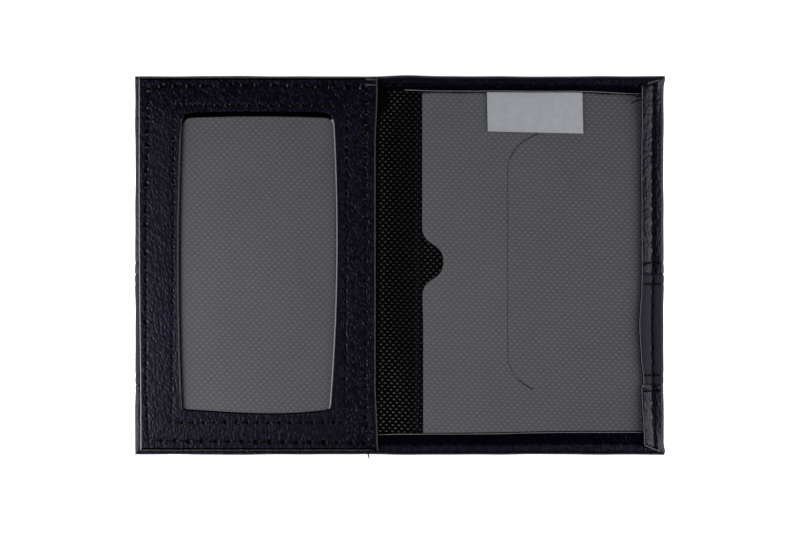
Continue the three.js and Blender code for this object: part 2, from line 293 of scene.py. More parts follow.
def maths(operation, first, second=0.0):
    owner = first if isinstance(first, bpy.types.NodeSocket) else second
    return node(owner, "Math", {0: first, 1: second}, operation=operation).outputs[0]


def times(first, *others):
    for other in others:
        first = maths("MULTIPLY", first, other)
    return first


def plus(first, *others):
    for other in others:
        first = maths("ADD", first, other)
    return first


def squares(first, second):
    return plus(times(first, first), times(second, second))


def spread(value, low, high, toLow=0.0, toHigh=1.0):
    inputs = {"Value": value, "From Min": low, "From Max": high, "To Min": toLow, "To Max": toHigh}
    return node(value, "MapRange", inputs, interpolation_type="SMOOTHSTEP").outputs["Result"]


def colours(factor, dark, light):
    return node(factor, "Mix", {0: factor, 6: dark, 7: light}, data_type="RGBA").outputs[2]


def bump(skin, height, depth):
    made = node(skin, "Bump", {"Strength": 1.0, "Distance": depth * mm, "Height": height})
    feed(skin, "Normal", made.outputs["Normal"])


def bulkyNoise(place, size, detail=3, roughness=0.55):
    inputs = {"Scale": 1 / size, "Detail": detail, "Roughness": roughness, "Vector": place}
    return node(place, "TexNoise", inputs).outputs["Fac"]


def makeFloor():
    deselectAll()
    bpy.ops.mesh.primitive_plane_add(size=lightSet["floorSize"], location=(0, 0, lightSet["floorAt"]))
    floor = bpy.context.object
    floor.name = "floor"
    material, paper = newFinish("paleFloor", *lightSet["floorShine"])
    feed(paper, "Base Color", lightSet["floor"])
    feed(paper, "Emission Color", (1, 1, 1))
    ray = node(paper, "LightPath", {}).outputs
    seen = maths("MAXIMUM", ray["Is Camera Ray"], ray["Is Transmission Ray"])
    seen = maths("MAXIMUM", seen, ray["Is Glossy Ray"])
    feed(paper, "Emission Strength", times(seen, lightSet["floorGlow"]))
    floor.data.materials.append(material)


makeCamera()
makeLights()
makeFloor()
print("camera, light and floor ready")


sewing = {
    "edgePitch": 4.9,
    "windowPitch": 3.95,
    "mouthPitch": 3.75,
    "rowPitch": 4.6,
    "radius": 0.15,
    "threadHalf": 0.25,
    "valleyWidth": 1.7,
    "groove": 0.06,
    "grooveWidth": 0.6,
    "frameValley": 0.06,
    "hemValley": 0.22,
    "frameSunk": 0.02,
    "hemSunk": 0.12,
    "outsideSunk": 0.14,
}
leatherSet = {
    "dark": (0.0003, 0.0002, 0.0019),
    "light": (0.0044, 0.0026, 0.0140),
    "tint": (0.88, 0.86, 1.0),
    "hole": (0.0001, 0.0001, 0.0002),
    "pebble": 0.95,
    "stretch": 0.58,
    "lean": -0.2,
    "warp": (0.55, 0.9),
    "folds": (2.0, 1.1),
    "fine": (0.3, 0.22),
    "sunk": 1.2,
    "patch": 9,
    "depth": 0.13,
    "pressed": 0.22,
    "grainy": 0.28,
    "gloss": 0.18,
    "holeWidth": 0.55,
    "holeLength": 1.1,
    "holeDepth": 0.11,
    "holeReach": (0.6, 1.3),
    "holesVary": (0.55, 1.7),
    "uneven": 2.6,
    "crease": (0.1, 0.42),
    "creaseVary": (0.7, 0.2),
    "dipShorter": 1.5,
    "dipReach": (0.1, 2.0),
    "holeRoughness": 0.28,
    "paintedGlint": (0.17, 0.17, 0.18),
    "tickPlace": (1.15, 0.28, 0.36),
    "tickReach": (0.4, 1.2),
    "ticksVary": (0.85, 0.3),
}


def makeGrained():
    material, skin = newFinish("grainedLeatherette", leatherSet["pressed"], leatherSet["gloss"])
    feed(skin, "Specular Tint", leatherSet["tint"])
    place = restPlace(skin, leatherSet["stretch"], leatherSet["lean"])
    warpScale, warpBy = leatherSet["warp"]
    drift = node(place, "TexNoise", {"Scale": warpScale, "Detail": 2, "Vector": place}).outputs["Color"]
    bent = node(drift, "VectorMath", {"Scale": warpBy, 0: drift}, operation="SCALE").outputs[0]
    warped = node(place, "VectorMath", {0: place, 1: bent}, operation="ADD").outputs[0]
    pattern = {"Scale": 1 / leatherSet["pebble"], "Randomness": 0.95, "Vector": warped}
    cells = node(warped, "TexVoronoi", pattern).outputs["Distance"]
    pebbles = spread(cells, 0.05, 0.85, 1, 0)
    foldSize, foldRise = leatherSet["folds"]
    fineSize, fineRise = leatherSet["fine"]
    folds = bulkyNoise(warped, foldSize)
    fine = bulkyNoise(warped, fineSize, 2)
    height = plus(pebbles, times(folds, foldRise), times(fine, fineRise), -leatherSet["sunk"])
    # Pebble tops get a paler colour than the crevices between them, and places with less grain get a darker
    # one: painted shade. The patches are random tone.
    amount = keptIn(skin, "grainAndShade")
    patches = spread(bulkyNoise(place, leatherSet["patch"]), 0.3, 0.7, 0.45, 1)
    toneAndPaintedShade = times(pebbles, patches, spread(amount, 0, 0.9, 0.25, 1))
    colour = colours(toneAndPaintedShade, leatherSet["dark"], leatherSet["light"])
    dull = spread(fine, 0.3, 0.7, leatherSet["pressed"] - 0.03, leatherSet["pressed"] + 0.05)
    sheen = plus(dull, times(amount, leatherSet["grainy"]))
    relief = times(keptIn(skin, "relief"), leatherSet["depth"])
    needlePaintedShadeAndGlints(skin, colour, sheen, times(height, relief))
    return material


# Needle holes and the crease between them get a near-black colour, painted shade, and are drawn in by a bump
# dip. Distances are in millimetres
def needlePaintedShadeAndGlints(skin, colour, roughness, height):
    off = keptIn(skin, "seamOff")
    step = keptIn(skin, "seamStep")
    along = plus(maths("FRACT", plus(step, 0.5)), -0.5)
    along = times(along, sewing["edgePitch"] / leatherSet["holeLength"])
    across = maths("DIVIDE", off, leatherSet["holeWidth"])
    uneven = bulkyNoise(restPlace(skin), leatherSet["uneven"], 1)
    reach = times(squares(along, across), spread(uneven, 0.3, 0.7, *leatherSet["holesVary"]))
    crease = spread(off, *leatherSet["crease"], 1, 0)
    crease = times(crease, spread(uneven, 0.35, 0.65, *leatherSet["creaseVary"]))
    hole = maths("MAXIMUM", spread(reach, *leatherSet["holeReach"], 1, 0), crease)
    whole = maths("SUBTRACT", 1.0, hole)
    around = squares(times(along, leatherSet["dipShorter"]), across)
    dip = times(spread(around, *leatherSet["dipReach"], 1, 0), -leatherSet["holeDepth"])
    bump(skin, plus(times(height, whole), dip), 1)
    # A pale tick just past each hole is a painted glint on the thread; a kept amount sets how strongly it
    # shows
    tickAt, tickLength, tickWidth = leatherSet["tickPlace"]
    past = maths("DIVIDE", plus(along, -tickAt), tickLength)
    away = squares(past, maths("DIVIDE", off, tickWidth))
    paintedGlint = spread(away, *leatherSet["tickReach"], 1, 0)
    paintedGlint = times(paintedGlint, spread(uneven, 0.4, 0.62, *leatherSet["ticksVary"]), keptIn(skin, "paintedGlints"))
    holed = colours(hole, colour, leatherSet["hole"])
    feed(skin, "Base Color", colours(paintedGlint, holed, leatherSet["paintedGlint"]))
    inHoles = times(hole, leatherSet["holeRoughness"])
    feed(skin, "Roughness", plus(times(roughness, whole), inHoles))


smoothSet = {
    "dark": (0.0115, 0.0095, 0.0162),
    "light": (0.0182, 0.0151, 0.0236),
    "depth": 0.02,
    "roughness": 0.55,
    "gloss": 0.08,
}


def makeSmooth():
    material, skin = newFinish("smoothLeatherette", smoothSet["roughness"], smoothSet["gloss"])
    feed(skin, "Specular Tint", leatherSet["tint"])
    place = restPlace(skin)
    fine = bulkyNoise(place, 0.5, 4)
    broad = bulkyNoise(place, 6, 2)
    height = times(plus(fine, times(broad, 1.5)), smoothSet["depth"])
    colour = colours(broad, smoothSet["dark"], smoothSet["light"])
    sheen = spread(fine, 0.25, 0.75, smoothSet["roughness"] - 0.06, smoothSet["roughness"] + 0.1)
    needlePaintedShadeAndGlints(skin, colour, sheen, height)
    return material


# Fibre is its size, detail and roughness. Shine is roughness and gloss. Boards have no kept places
fibreSets = {
    "leatheretteBacking": {
        "dark": (0.108, 0.108, 0.111),
        "light": (0.203, 0.203, 0.207),
        "fibre": (0.4, 5, 0.7),
        "shine": (0.85, 0.3),
        "clear": True,
        "depth": 0.05,
    },
    # Near-black finish put where shade falls: painted shade on the window walls, the frame's upper and lower
    # edge strips and parts of the hems' cut edges
    "paintedShadeEdge": {
        "dark": (0.0001, 0.0001, 0.0002),
        "light": (0.0006, 0.0005, 0.0009),
        "fibre": (0.5, 3),
        "shine": (0.8, 0.0),
        "depth": 0.05,
    },
    # Paler finish for the strip beside the window's left wall and for the turned mouth: a painted highlight
    # on these rounded edges
    "paintedRimHighlight": {
        "dark": (0.021, 0.021, 0.026),
        "light": (0.038, 0.038, 0.045),
        "fibre": (1.2, 3),
        "shine": (0.5, 0.2),
        "clear": True,
    },
    "greyBoard": {
        "dark": (0.17, 0.14, 0.10),
        "light": (0.29, 0.25, 0.19),
        "fibre": (0.0008, 5, 0.7),
        "shine": (0.9, 0.2),
        "clear": True,
        "depth": 0.05,
        "inMetres": True,
    },
}


def makeFibrous(name):
    fibreSet = fibreSets[name]
    material, skin = newFinish(name, *fibreSet["shine"])
    if "inMetres" in fibreSet:
        place = node(skin, "TexCoord", {}).outputs["Object"]
    else:
        place = restPlace(skin)
    fibre = bulkyNoise(place, *fibreSet["fibre"])
    share = spread(fibre, 0.3, 0.7) if "clear" in fibreSet else fibre
    feed(skin, "Base Color", colours(share, fibreSet["dark"], fibreSet["light"]))
    if "depth" in fibreSet:
        bump(skin, fibre, fibreSet["depth"])
    return material


weaveSet = {
    "across": 1.11,
    "along": 1.147,
    "turn": 0.0436,
    "relief": 0.22,
    "sunk": 1.25,
    "dark": (0.0006, 0.0006, 0.0008),
    "light": (0.112, 0.112, 0.117),
    "depth": 0.10,
    "roughness": 0.6,
    "gloss": 0.03,
    "longer": 1.8,
}


# From -1 in the dips of the weave to 1 on its knots, which are drawn out across the sheet
def weaveAt(place, longer):
    part = node(place, "SeparateXYZ", {0: place}).outputs
    byX = maths("COSINE", times(part["X"], math.pi / weaveSet["across"]))
    byY = maths("COSINE", times(part["Y"], math.pi / weaveSet["along"]))
    sizeX = maths("POWER", maths("ABSOLUTE", byX), 1 / longer)
    sizeY = maths("POWER", maths("ABSOLUTE", byY), longer)
    return times(sizeX, sizeY, maths("SIGN", times(byX, byY)))


def makeWoven():
    material, skin = newFinish("wovenLining", weaveSet["roughness"], weaveSet["gloss"])
    place = restPlace(skin, turn=weaveSet["turn"])
    fibre = bulkyNoise(place, 0.22)
    weave = weaveAt(place, weaveSet["longer"])
    knot = times(spread(weave, 0.25, 0.9), spread(fibre, 0.25, 0.75, 0.3, 1.0))
    bump(skin, plus(knot, times(fibre, 0.3)), weaveSet["depth"])
    # Knots get a paler colour than the dips between them, painted sheen on the yarn crossings, and a kept
    # amount raises or lowers it place by place: painted highlight and shadow. The dips keep the thread's
    # near-black.
    knotLight = times(knot, keptIn(skin, "fold"))
    feed(skin, "Base Color", colours(knotLight, weaveSet["dark"], weaveSet["light"]))
    return material


filmSet = {
    "colour": (0.360, 0.350, 0.392),
    "alpha": 0.145,
    "veilVary": 0.04,
    "roughness": 0.24,
    "gloss": 0.3,
    "depth": 0.25,
}


# A grey veil stands in for the reflection on the clear film: painted reflection, uneven at random. Over the
# knots behind it the veil is stronger, a painted highlight of those knots, and a kept amount takes it away:
# painted shade
def makeFilm(name, lift, longer, knotHighlightStrength):
    material, skin = newFinish(name, filmSet["roughness"], filmSet["gloss"])
    feed(skin, "Base Color", filmSet["colour"])
    place = restPlace(skin, turn=weaveSet["turn"])
    paintedVeil = filmSet["alpha"] * lift
    veilVary = filmSet["veilVary"]
    reflectionVeil = spread(bulkyNoise(place, 22, 2), 0.25, 0.75, paintedVeil * (1 - veilVary), paintedVeil * (1 + veilVary))
    covered = maths("SUBTRACT", 1.0, keptIn(skin, "paintedShadeFade"))
    knotHighlights = spread(weaveAt(place, longer), -0.2, 1.0, 1 - knotHighlightStrength / 2, 1 + knotHighlightStrength)
    feed(skin, "Alpha", times(reflectionVeil, covered, knotHighlights))
    bump(skin, bulkyNoise(place, 14, 2), filmSet["depth"])
    return material


satinSet = {
    "dark": (0.310, 0.326, 0.350),
    "light": (0.382, 0.399, 0.424),
    "thread": 0.22,
    "roughness": 0.5,
    "sheen": 0.15,
    "depth": 0.05,
}


def makeSatin():
    material, skin = newFinish("labelSatin", satinSet["roughness"])
    feed(skin, "Sheen Weight", satinSet["sheen"])
    place = restPlace(skin)
    along = node(place, "SeparateXYZ", {0: place}).outputs["Y"]
    rib = maths("SINE", times(along, 2 * math.pi / satinSet["thread"]))
    mixed = plus(times(rib, 0.18), bulkyNoise(place, 3))
    feed(skin, "Base Color", colours(spread(mixed, 0.2, 0.85), satinSet["dark"], satinSet["light"]))
    bump(skin, mixed, satinSet["depth"])
    return material


def makeThread(name, dark, light, roughness, specular):
    material, skin = newFinish(name, roughness, specular)
    place = restPlace(skin)
    pattern = {"Scale": 1.6, "Distortion": 0.6, "Detail": 1, "Vector": place}
    twist = node(place, "TexWave", pattern, bands_direction="DIAGONAL").outputs["Fac"]
    feed(skin, "Base Color", colours(twist, dark, light))
    bump(skin, twist, 0.06)
    return material


grained = makeGrained()
smooth = makeSmooth()
backing, shaded, rim, board = (makeFibrous(name) for name in fibreSets)
woven = makeWoven()
# Each film's veil strength: painted reflection
windowClear = makeFilm("windowFilm", 0.94, 1.15, 0.16)
pocketClear = makeFilm("pocketFilm", 1.07, 2.2, 0.14)
satin = makeSatin()
navyThread = makeThread("navyThread", (0.0006, 0.0005, 0.0014), (0.0030, 0.0024, 0.0054), 0.7, 0.06)
tackThread = makeThread("tackThread", (0.018, 0.018, 0.021), (0.06, 0.06, 0.066), 0.5, 0.3)
for name in ("front_stiffener", "back_stiffener"):
    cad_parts[name].data.materials.clear()
    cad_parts[name].data.materials.append(board)
print("finishes ready")


# Lines that the pieces share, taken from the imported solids
coverLow = nodeBox("front_cover_lower")[0]
coverHigh = nodeBox("back_cover_upper")[1]
hemHigh = coverHigh[2]
bandLow, bandHigh = nodeBox("back_cover_band")
upperSeam = (bandHigh[1] + nodeBox("back_cover_upper")[0][1]) / 2
lowerSeam = (bandLow[1] + nodeBox("back_cover_lower")[1][1]) / 2
rowNames = ("upper_outer", "upper_inner", "lower_inner", "lower_outer")
rowPlaces = {name: sum(box[1] for box in nodeBox("back_row_" + name)) / 2 for name in rowNames}
threadHalf = sewing["threadHalf"]
windowSewLow, windowSewHigh = (box[:2] for box in nodeBox("window_thread"))
windowSewLow = windowSewLow + threadHalf + (0.7, 0.4)
windowSewHigh = windowSewHigh - threadHalf - (0.5, 0.2)
mouthSewLow, mouthSewHigh = nodeBox("pocket_mouth_thread")
mouthSewX = (mouthSewLow[0] + mouthSewHigh[0]) / 2
backSewLow, backSewHigh = nodeBox("back_edge_thread")
upperSewY = backSewHigh[1] - threadHalf
lowerSewY = backSewLow[1] + threadHalf
backSewX = backSewHigh[0] - threadHalf
frontSewX = nodeBox("front_edge_thread")[0][0] + threadHalf
frameLow, frameHigh = nodeBox("window_frame")
frameSewX = frameHigh[0] - 4.6
spineSewX = frameHigh[0] + 0.3
seamLines = {
    "window": [
        (windowSewLow[0], windowSewLow[1]),
        (windowSewHigh[0], windowSewLow[1]),
        (windowSewHigh[0] + 0.9, windowSewHigh[1]),
        (windowSewLow[0] + 0.9, windowSewHigh[1] + 0.4),
        (windowSewLow[0], windowSewLow[1]),
    ],
    "mouth": [(mouthSewX, mouthSewHigh[1]), (mouthSewX, mouthSewLow[1])],
    "front": [
        (frameSewX, upperSewY - 1.0),
        (-24, upperSewY - 0.85),
        (-38.5, upperSewY - 0.15),
        (-50.5, upperSewY + 0.2),
        (-65, upperSewY - 0.15),
        (frontSewX + 1.2, upperSewY - 0.5),
        (frontSewX + 1.1, upperSewY - 7),
        (frontSewX + 0.1, upperSewY - 40),
        (frontSewX - 0.1, lowerSewY + 19),
        (frontSewX + 0.9, lowerSewY + 1.4),
        (frameSewX, lowerSewY + 0.45),
    ],
    "frontOutside": [(0, upperSewY), (frontSewX, upperSewY), (frontSewX, lowerSewY), (0, lowerSewY)],
    "back": [(0, lowerSewY), (backSewX, lowerSewY), (backSewX, upperSewY), (0, upperSewY)],
    "spineUpper": [(0, upperSewY), (spineSewX, upperSewY)],
    "spineLower": [(0, lowerSewY), (spineSewX, lowerSewY)],
}


# Each straight leg of a seam: where it starts, its run and its count of stitches
def legsOf(line):
    pitch = sewing.get(line + "Pitch", sewing["edgePitch"])
    corners = np.array(seamLines[line], float)
    for start, end in zip(corners[:-1], corners[1:]):
        leg = end - start
        yield start, leg, max(1, round(np.linalg.norm(leg) / pitch))


def needleHoles(line):
    holes = [start + leg * step / count for start, leg, count in legsOf(line) for step in range(count)]
    return np.array(holes + [np.array(seamLines[line][-1], float)])


# How far the sheet is drawn in along a sewn line, how far off that line a point is, and its place in stitches
def drawnIn(places, valley, *names):
    off = np.full(len(places), farAway)
    step = np.zeros(len(places))
    for start, leg, count in (each for name in names for each in legsOf(name)):
        length = np.linalg.norm(leg)
        along = leg / length
        gone = (places[:, :2] - start) @ along
        aside = (places[:, :2] - start) @ np.array([-along[1], along[0]])
        past = np.maximum(np.maximum(-gone, gone - length), 0)
        away = np.hypot(aside, past)
        nearer = away < off
        off = np.where(nearer, away, off)
        step = np.where(nearer, gone * count / length, step)
    dip = valley * hill(off, sewing["valleyWidth"])
    return dip + sewing["groove"] * hill(off, sewing["grooveWidth"]), off, step


def keepSeams(piece, off, step):
    keepAmount(piece, "seamOff", off)
    keepAmount(piece, "seamStep", step)


# Cover: one skin with a rolled edge and turned-in hems, then cut into strips and halves
coverSet = {
    "roll": 1.6,
    "rollSteps": 8,
    "hemSteps": 20,
    "step": 0.75,
    "thickness": 0.5,
    "hems": {"front": 7, "back": 7.9, "lower": 7, "upper": 4.9},
    "cutEdge": ((0.19, 0.12), (0.34, 0.46)),
    "hemFall": 0.3,
    "flatTilt": 0.4,
    "backTilt": 0.95,
    "backRound": (3.2, 0.2, 2.2),
    "backWave": (-0.75, 0.7),
    "waveAt": (-21.5, -33, 9),
    "hemDroop": ((0.45, -6, 9), (0.9, 60, 26)),
    "hemLift": ((0.25, -8, 9), (0.6, 20, 50)),
    "overLabel": (4, 0.22),
    "rowSunk": (0.42, 0.62),
    "rowDip": (0.24, 0.6),
    "rimNotch": 0.6,
    "paleFrom": 2.0,
    "flapSlant": 0.75,
    "flapPale": 88.5,
    "overlap": {"upper": 1.2, "lower": 3.2},
    "overlapLift": 0.3,
    "overlapReach": 8,
    "sideSway": (0.16, 60, 1.3),
    "endSway": (0.14, 74, 0.4),
    "spineSwell": (0.30, 3, 7),
    "fuller": (0.12, 0.35, 0.1),
    "flapEdge": (-0.08, 0.24, -0.16),
    "ear": (0.5, 1.5, 0.2),
    "seamRound": 0.8,
    "seamDepth": 0.25,
    "seamSwell": (0.04, 2.0, 1.3),
    "holesFiner": {"hem": 1.7, "back": 0.85},
    "grainAndShade": {"upper": 0.68, "lower": 0.95, "raw": 0.06, "backRoll": 0.65, "frontRoll": 0.78, "back": 0.66},
    "relief": {"upper": 0.8, "lower": 1.0, "raw": 0.7, "backRoll": 0.4, "back": 0.85},
}
coverFinish = {"face": 0, "backing": 1, "shaded": 2}
mitreGap = 0.002


# A ring is its low and high x, then its low and high y
def growRing(now, then, rise):
    centreNow = (now[::2] + now[1::2]) / 2
    centreThen = (then[::2] + then[1::2]) / 2
    extrude(*(centreThen - centreNow), rise)
    grow = (then[1::2] - then[::2]) / (now[1::2] - now[::2])
    bpy.ops.transform.resize(value=(*grow, 1), center_override=(*(centreThen * mm), 0))
    return then


def makeCoverSkin():
    roll = coverSet["roll"]
    low = coverLow[:2] + roll
    high = coverHigh[:2] - roll
    seams = (*rowPlaces.values(), upperSewY, lowerSewY, upperSeam, lowerSeam)
    xs = lines(low[0], high[0], coverSet["step"], (frontSewX, backSewX))
    ys = lines(low[1], high[1], coverSet["step"], seams)
    skin = gridAt("coverSkin", xs, ys, 0)
    openEdit(skin)
    bpy.ops.mesh.select_mode(type="EDGE")
    bpy.ops.mesh.select_all(action="DESELECT")
    bpy.ops.mesh.select_non_manifold()
    outwards = np.array([-1, 1, -1, 1])
    flat = np.array([low[0], high[0], low[1], high[1]])
    now = flat
    before = 0.0
    for step in range(1, coverSet["rollSteps"] + 1):
        turn = math.pi * step / coverSet["rollSteps"]
        rise = hemHigh / 2 * (1 - math.cos(turn))
        now = growRing(now, flat + roll * math.sin(turn) * outwards, rise - before)
        before = rise
    widths = np.array(list(coverSet["hems"].values())) - roll
    for step in range(1, coverSet["hemSteps"] + 1):
        now = growRing(now, flat - step / coverSet["hemSteps"] * widths * outwards, 0)
    for inward, down in coverSet["cutEdge"]:
        now = growRing(now, now - inward * outwards, -down)
    bpy.ops.mesh.select_all(action="SELECT")
    bpy.ops.mesh.flip_normals()
    closeEdit()
    middles = faceMiddles(skin)
    depth = np.minimum.reduce(hemShares(middles)) - 1
    cutDepth = coverSet["cutEdge"][0][0] / 10
    # On the hems' cut edge the first ring shows the pale backing. The second ring, and the first ring along
    # the upper hem up to 2 mm past the spine, get the near-black shaded finish: painted shade along and under
    # the raw edge
    pale = (depth < cutDepth) & ((middles[:, 0] > coverSet["paleFrom"]) | (middles[:, 1] < 0))
    cut = np.where(pale, coverFinish["backing"], coverFinish["shaded"])
    putFinish(skin, np.where((middles[:, 2] > hemHigh - 1) & (depth > 0), cut, coverFinish["face"]))
    return skin


# Share of the way from the rolled edge to the raw edge, and a tenth of each millimetre past it
def shareOf(depth, width):
    return np.where(depth < width, depth / width, 1 + (depth - width) / 10)


def hemShares(places):
    x, y = places[:, 0], places[:, 1]
    roll = coverSet["roll"]
    hems = coverSet["hems"]
    front = shareOf(x - coverLow[0] - roll, hems["front"] - roll)
    back = shareOf(coverHigh[0] - roll - x, hems["back"] - roll)
    upper = shareOf(coverHigh[1] - roll - y, hems["upper"] - roll)
    lower = shareOf(y - coverLow[1] - roll, hems["lower"] - roll)
    return front, back, upper, lower


# The back hem's two ends are cut free and get a cut edge of their own
def ripMitres(skin):
    places = placesOf(skin)
    back, upper, lower = hemShares(places)[1:]
    toMitre = np.minimum(np.abs(back - upper), np.abs(back - lower))
    pickEdges(skin, (places[:, 2] > hemHigh - 1) & (toMitre < mitreGap) & (back > -0.01))
    bpy.ops.mesh.edge_split(type="EDGE")
    closeEdit()
    middles = faceMiddles(skin)
    back, upper, lower = hemShares(middles)[1:]
    flapFaces = (middles[:, 2] > hemHigh - 1) & (back < np.minimum(upper, lower)) & (back > 0)
    onFlap = np.zeros(len(skin.data.vertices), bool)
    for face in np.flatnonzero(flapFaces):
        onFlap[list(skin.data.polygons[face].vertices)] = True
    keepAmount(skin, "backFlap", onFlap)
    for side in (1, -1):
        addFlapEdge(skin, side)


def addFlapEdge(skin, side):
    places = placesOf(skin)
    back, upper, lower = hemShares(places)[1:]
    onMitre = np.abs(back - (upper if side > 0 else lower)) < mitreGap
    pickEdges(skin, (amountOf(skin, "backFlap") > 0.5) & onMitre & (places[:, 2] > hemHigh - 0.01))
    before = len(skin.data.polygons)
    x, y, z = coverSet["flapEdge"]
    extrude(x, y * side, z)
    closeEdit()
    finish = finishOf(skin)
    # The upper flap's cut edge takes the dark face colour instead of the pale backing, except at its outer
    # end: painted shade
    pale = (faceMiddles(skin)[before:, 0] > coverSet["flapPale"]) | (side < 0)
    finish[before:] = np.where(pale, coverFinish["backing"], coverFinish["face"])
    putFinish(skin, finish)


# How far the raw edge of a long hem leans in
def leanIn(hem, x):
    return sum(amount * ease((x - start) / run) for amount, start, run in coverSet[hem])


def shapeSkin(skin):
    places = placesOf(skin)
    front, back, upper, lower = hemShares(places)
    share = np.minimum.reduce([front, back, upper, lower])
    onTop = (places[:, 2] > hemHigh - 0.75) & (share > -0.0005)
    base = places[:, 2] < 0.02
    onBack = (amountOf(skin, "backFlap") > 0.5) & onTop
    share = unit(share)
    x, y, z = places.T.copy()
    # seams and hems
    inside, insideOff, insideStep = drawnIn(places, sewing["hemValley"], "back", "spineUpper", "spineLower")
    outside, outsideOff, outsideStep = drawnIn(places, sewing["frameValley"], "frontOutside", "back")
    fall = coverSet["hemFall"] * share**2 * ~onBack
    z = np.where(onTop, z - fall - inside * (1 + onBack), z)
    labelLow, labelHigh = nodeBox("label_tail")
    reach, lift = coverSet["overLabel"]
    overLabel = ease((x - labelLow[0] + reach) / reach) * ease((labelHigh[0] + reach - x) / reach)
    overLabel = overLabel * (upper >= 0) * (upper <= 1.1)
    z = np.where(onTop, z + lift * overLabel * ease(share), z)
    onUpper = onTop & ~onBack & (upper < 1.2)
    onLower = onTop & ~onBack & (lower < 1.2)
    y = y + share * (onLower * leanIn("hemLift", x) - onUpper * leanIn("hemDroop", x))
    # stitched rows
    rowDip = np.zeros(len(places))
    for row in rowPlaces.values():
        outside = np.maximum(outside, coverSet["rowSunk"][0] * hill(y - row, coverSet["rowSunk"][1]))
        rowDip = np.maximum(rowDip, coverSet["rowDip"][0] * hill(y - row, coverSet["rowDip"][1]))
    z = np.where(base, z + outside, z)
    beside = np.abs(x) > coverHigh[0] - coverSet["hems"]["back"] - 0.5
    z = np.where(onTop & beside, z - rowDip, z)
    atRim = ~base & ~onTop & (np.abs(x) > coverHigh[0] - coverSet["roll"])
    x = np.where(atRim, x - np.sign(x) * rowDip * coverSet["rimNotch"], x)
    # the back hem's free ends lie over the long hems
    tilt = np.full(len(places), coverSet["flatTilt"])
    for other, name, way in ((upper, "upper", 1), (lower, "lower", -1)):
        gap = np.maximum(other - back, 0) * (coverSet["hems"][name] - coverSet["roll"])
        end = onBack * ease(1 - gap / coverSet["overlapReach"])
        y = y + way * end * coverSet["overlap"][name] * unit(back)
        x = x + (way < 0) * end * coverSet["flapSlant"] * unit(back)
        z = z + end * coverSet["overlapLift"] * ease(back * 7)
        tilt = tilt * (1 - end)
    z = z + onBack * coverSet["backTilt"] * (unit(back) - tilt)
    reach, fall, power = coverSet["backRound"]
    gone = np.maximum(x - coverHigh[0] + reach, 0) / (reach - coverSet["roll"])
    z = z - fall * gone**power * unit(2 * z / hemHigh - 1)
    dent, bulge = coverSet["backWave"]
    dentAt, bulgeFrom, width = coverSet["waveAt"]
    wave = dent * hill(y - dentAt, width) + bulge * ease((bulgeFrom - y) / width) * (y > lowerSeam - 0.2)
    x = x + onBack * share * wave
    # uneven outline
    sideways = ease((np.abs(x) - 80) / 12) * np.sign(x)
    x = x + sideways * sway(y, *coverSet["sideSway"])
    endways = ease((np.abs(y) - 55) / 10) * np.sign(y)
    y = y + endways * sway(x, *coverSet["endSway"])
    amount, middle, width = coverSet["spineSwell"]
    y = y + amount * hill(x - middle, width) * ease((y - 55) / 8)
    left, below, above = coverSet["fuller"]
    y = y - below * ease((-y - 55) / 10) + above * ease((y - 55) / 10)
    x = x - left * ease((-x - 82) / 10)
    ear, width, further = coverSet["ear"]
    for end, way in ((coverHigh[1], 1), (coverLow[1], -1)):
        corner = hill(np.hypot(x - coverHigh[0], y - end + way), width) * ear
        x = x + corner
        y = y + way * corner * further
    putPlaces(skin, np.column_stack([x, y, z]))
    finer = np.where(onBack, coverSet["holesFiner"]["back"], coverSet["holesFiner"]["hem"])
    off = np.where(onTop, insideOff * finer, np.where(base, outsideOff, farAway))
    keepSeams(skin, off, np.where(onTop, insideStep, np.where(base, outsideStep, 0)))
    # grain and relief. Less grain also gives a darker colour: painted shade, strongest on the inner hem bands
    outer = ease((0.42 - share) / 0.12)
    grainAndShade = coverSet["grainAndShade"]
    flat = np.where(y > 0, grainAndShade["upper"], grainAndShade["lower"]) * outer + grainAndShade["raw"] * (1 - outer)
    rolled = np.where(x > 0, grainAndShade["backRoll"], grainAndShade["frontRoll"])
    turnedIn = np.where(onBack, grainAndShade["back"], np.where(onTop, flat, rolled))
    keepAmount(skin, "grainAndShade", np.where(base, 1.0, turnedIn))
    relief = coverSet["relief"]
    flat = np.where(y > 0, relief["upper"], relief["raw"] + (relief["lower"] - relief["raw"]) * outer)
    rolled = np.where(base | (x < 0), 1.0, relief["backRoll"])
    keepAmount(skin, "relief", np.where(onBack, relief["back"], np.where(onTop, flat, rolled)))


def cutAway(piece, place, direction):
    openEdit(piece)
    cut = {"use_fill": False, "clear_outer": True, "threshold": 1e-7}
    bpy.ops.mesh.bisect(plane_co=tuple(np.array(place) * mm), plane_no=direction, **cut)
    closeEdit()


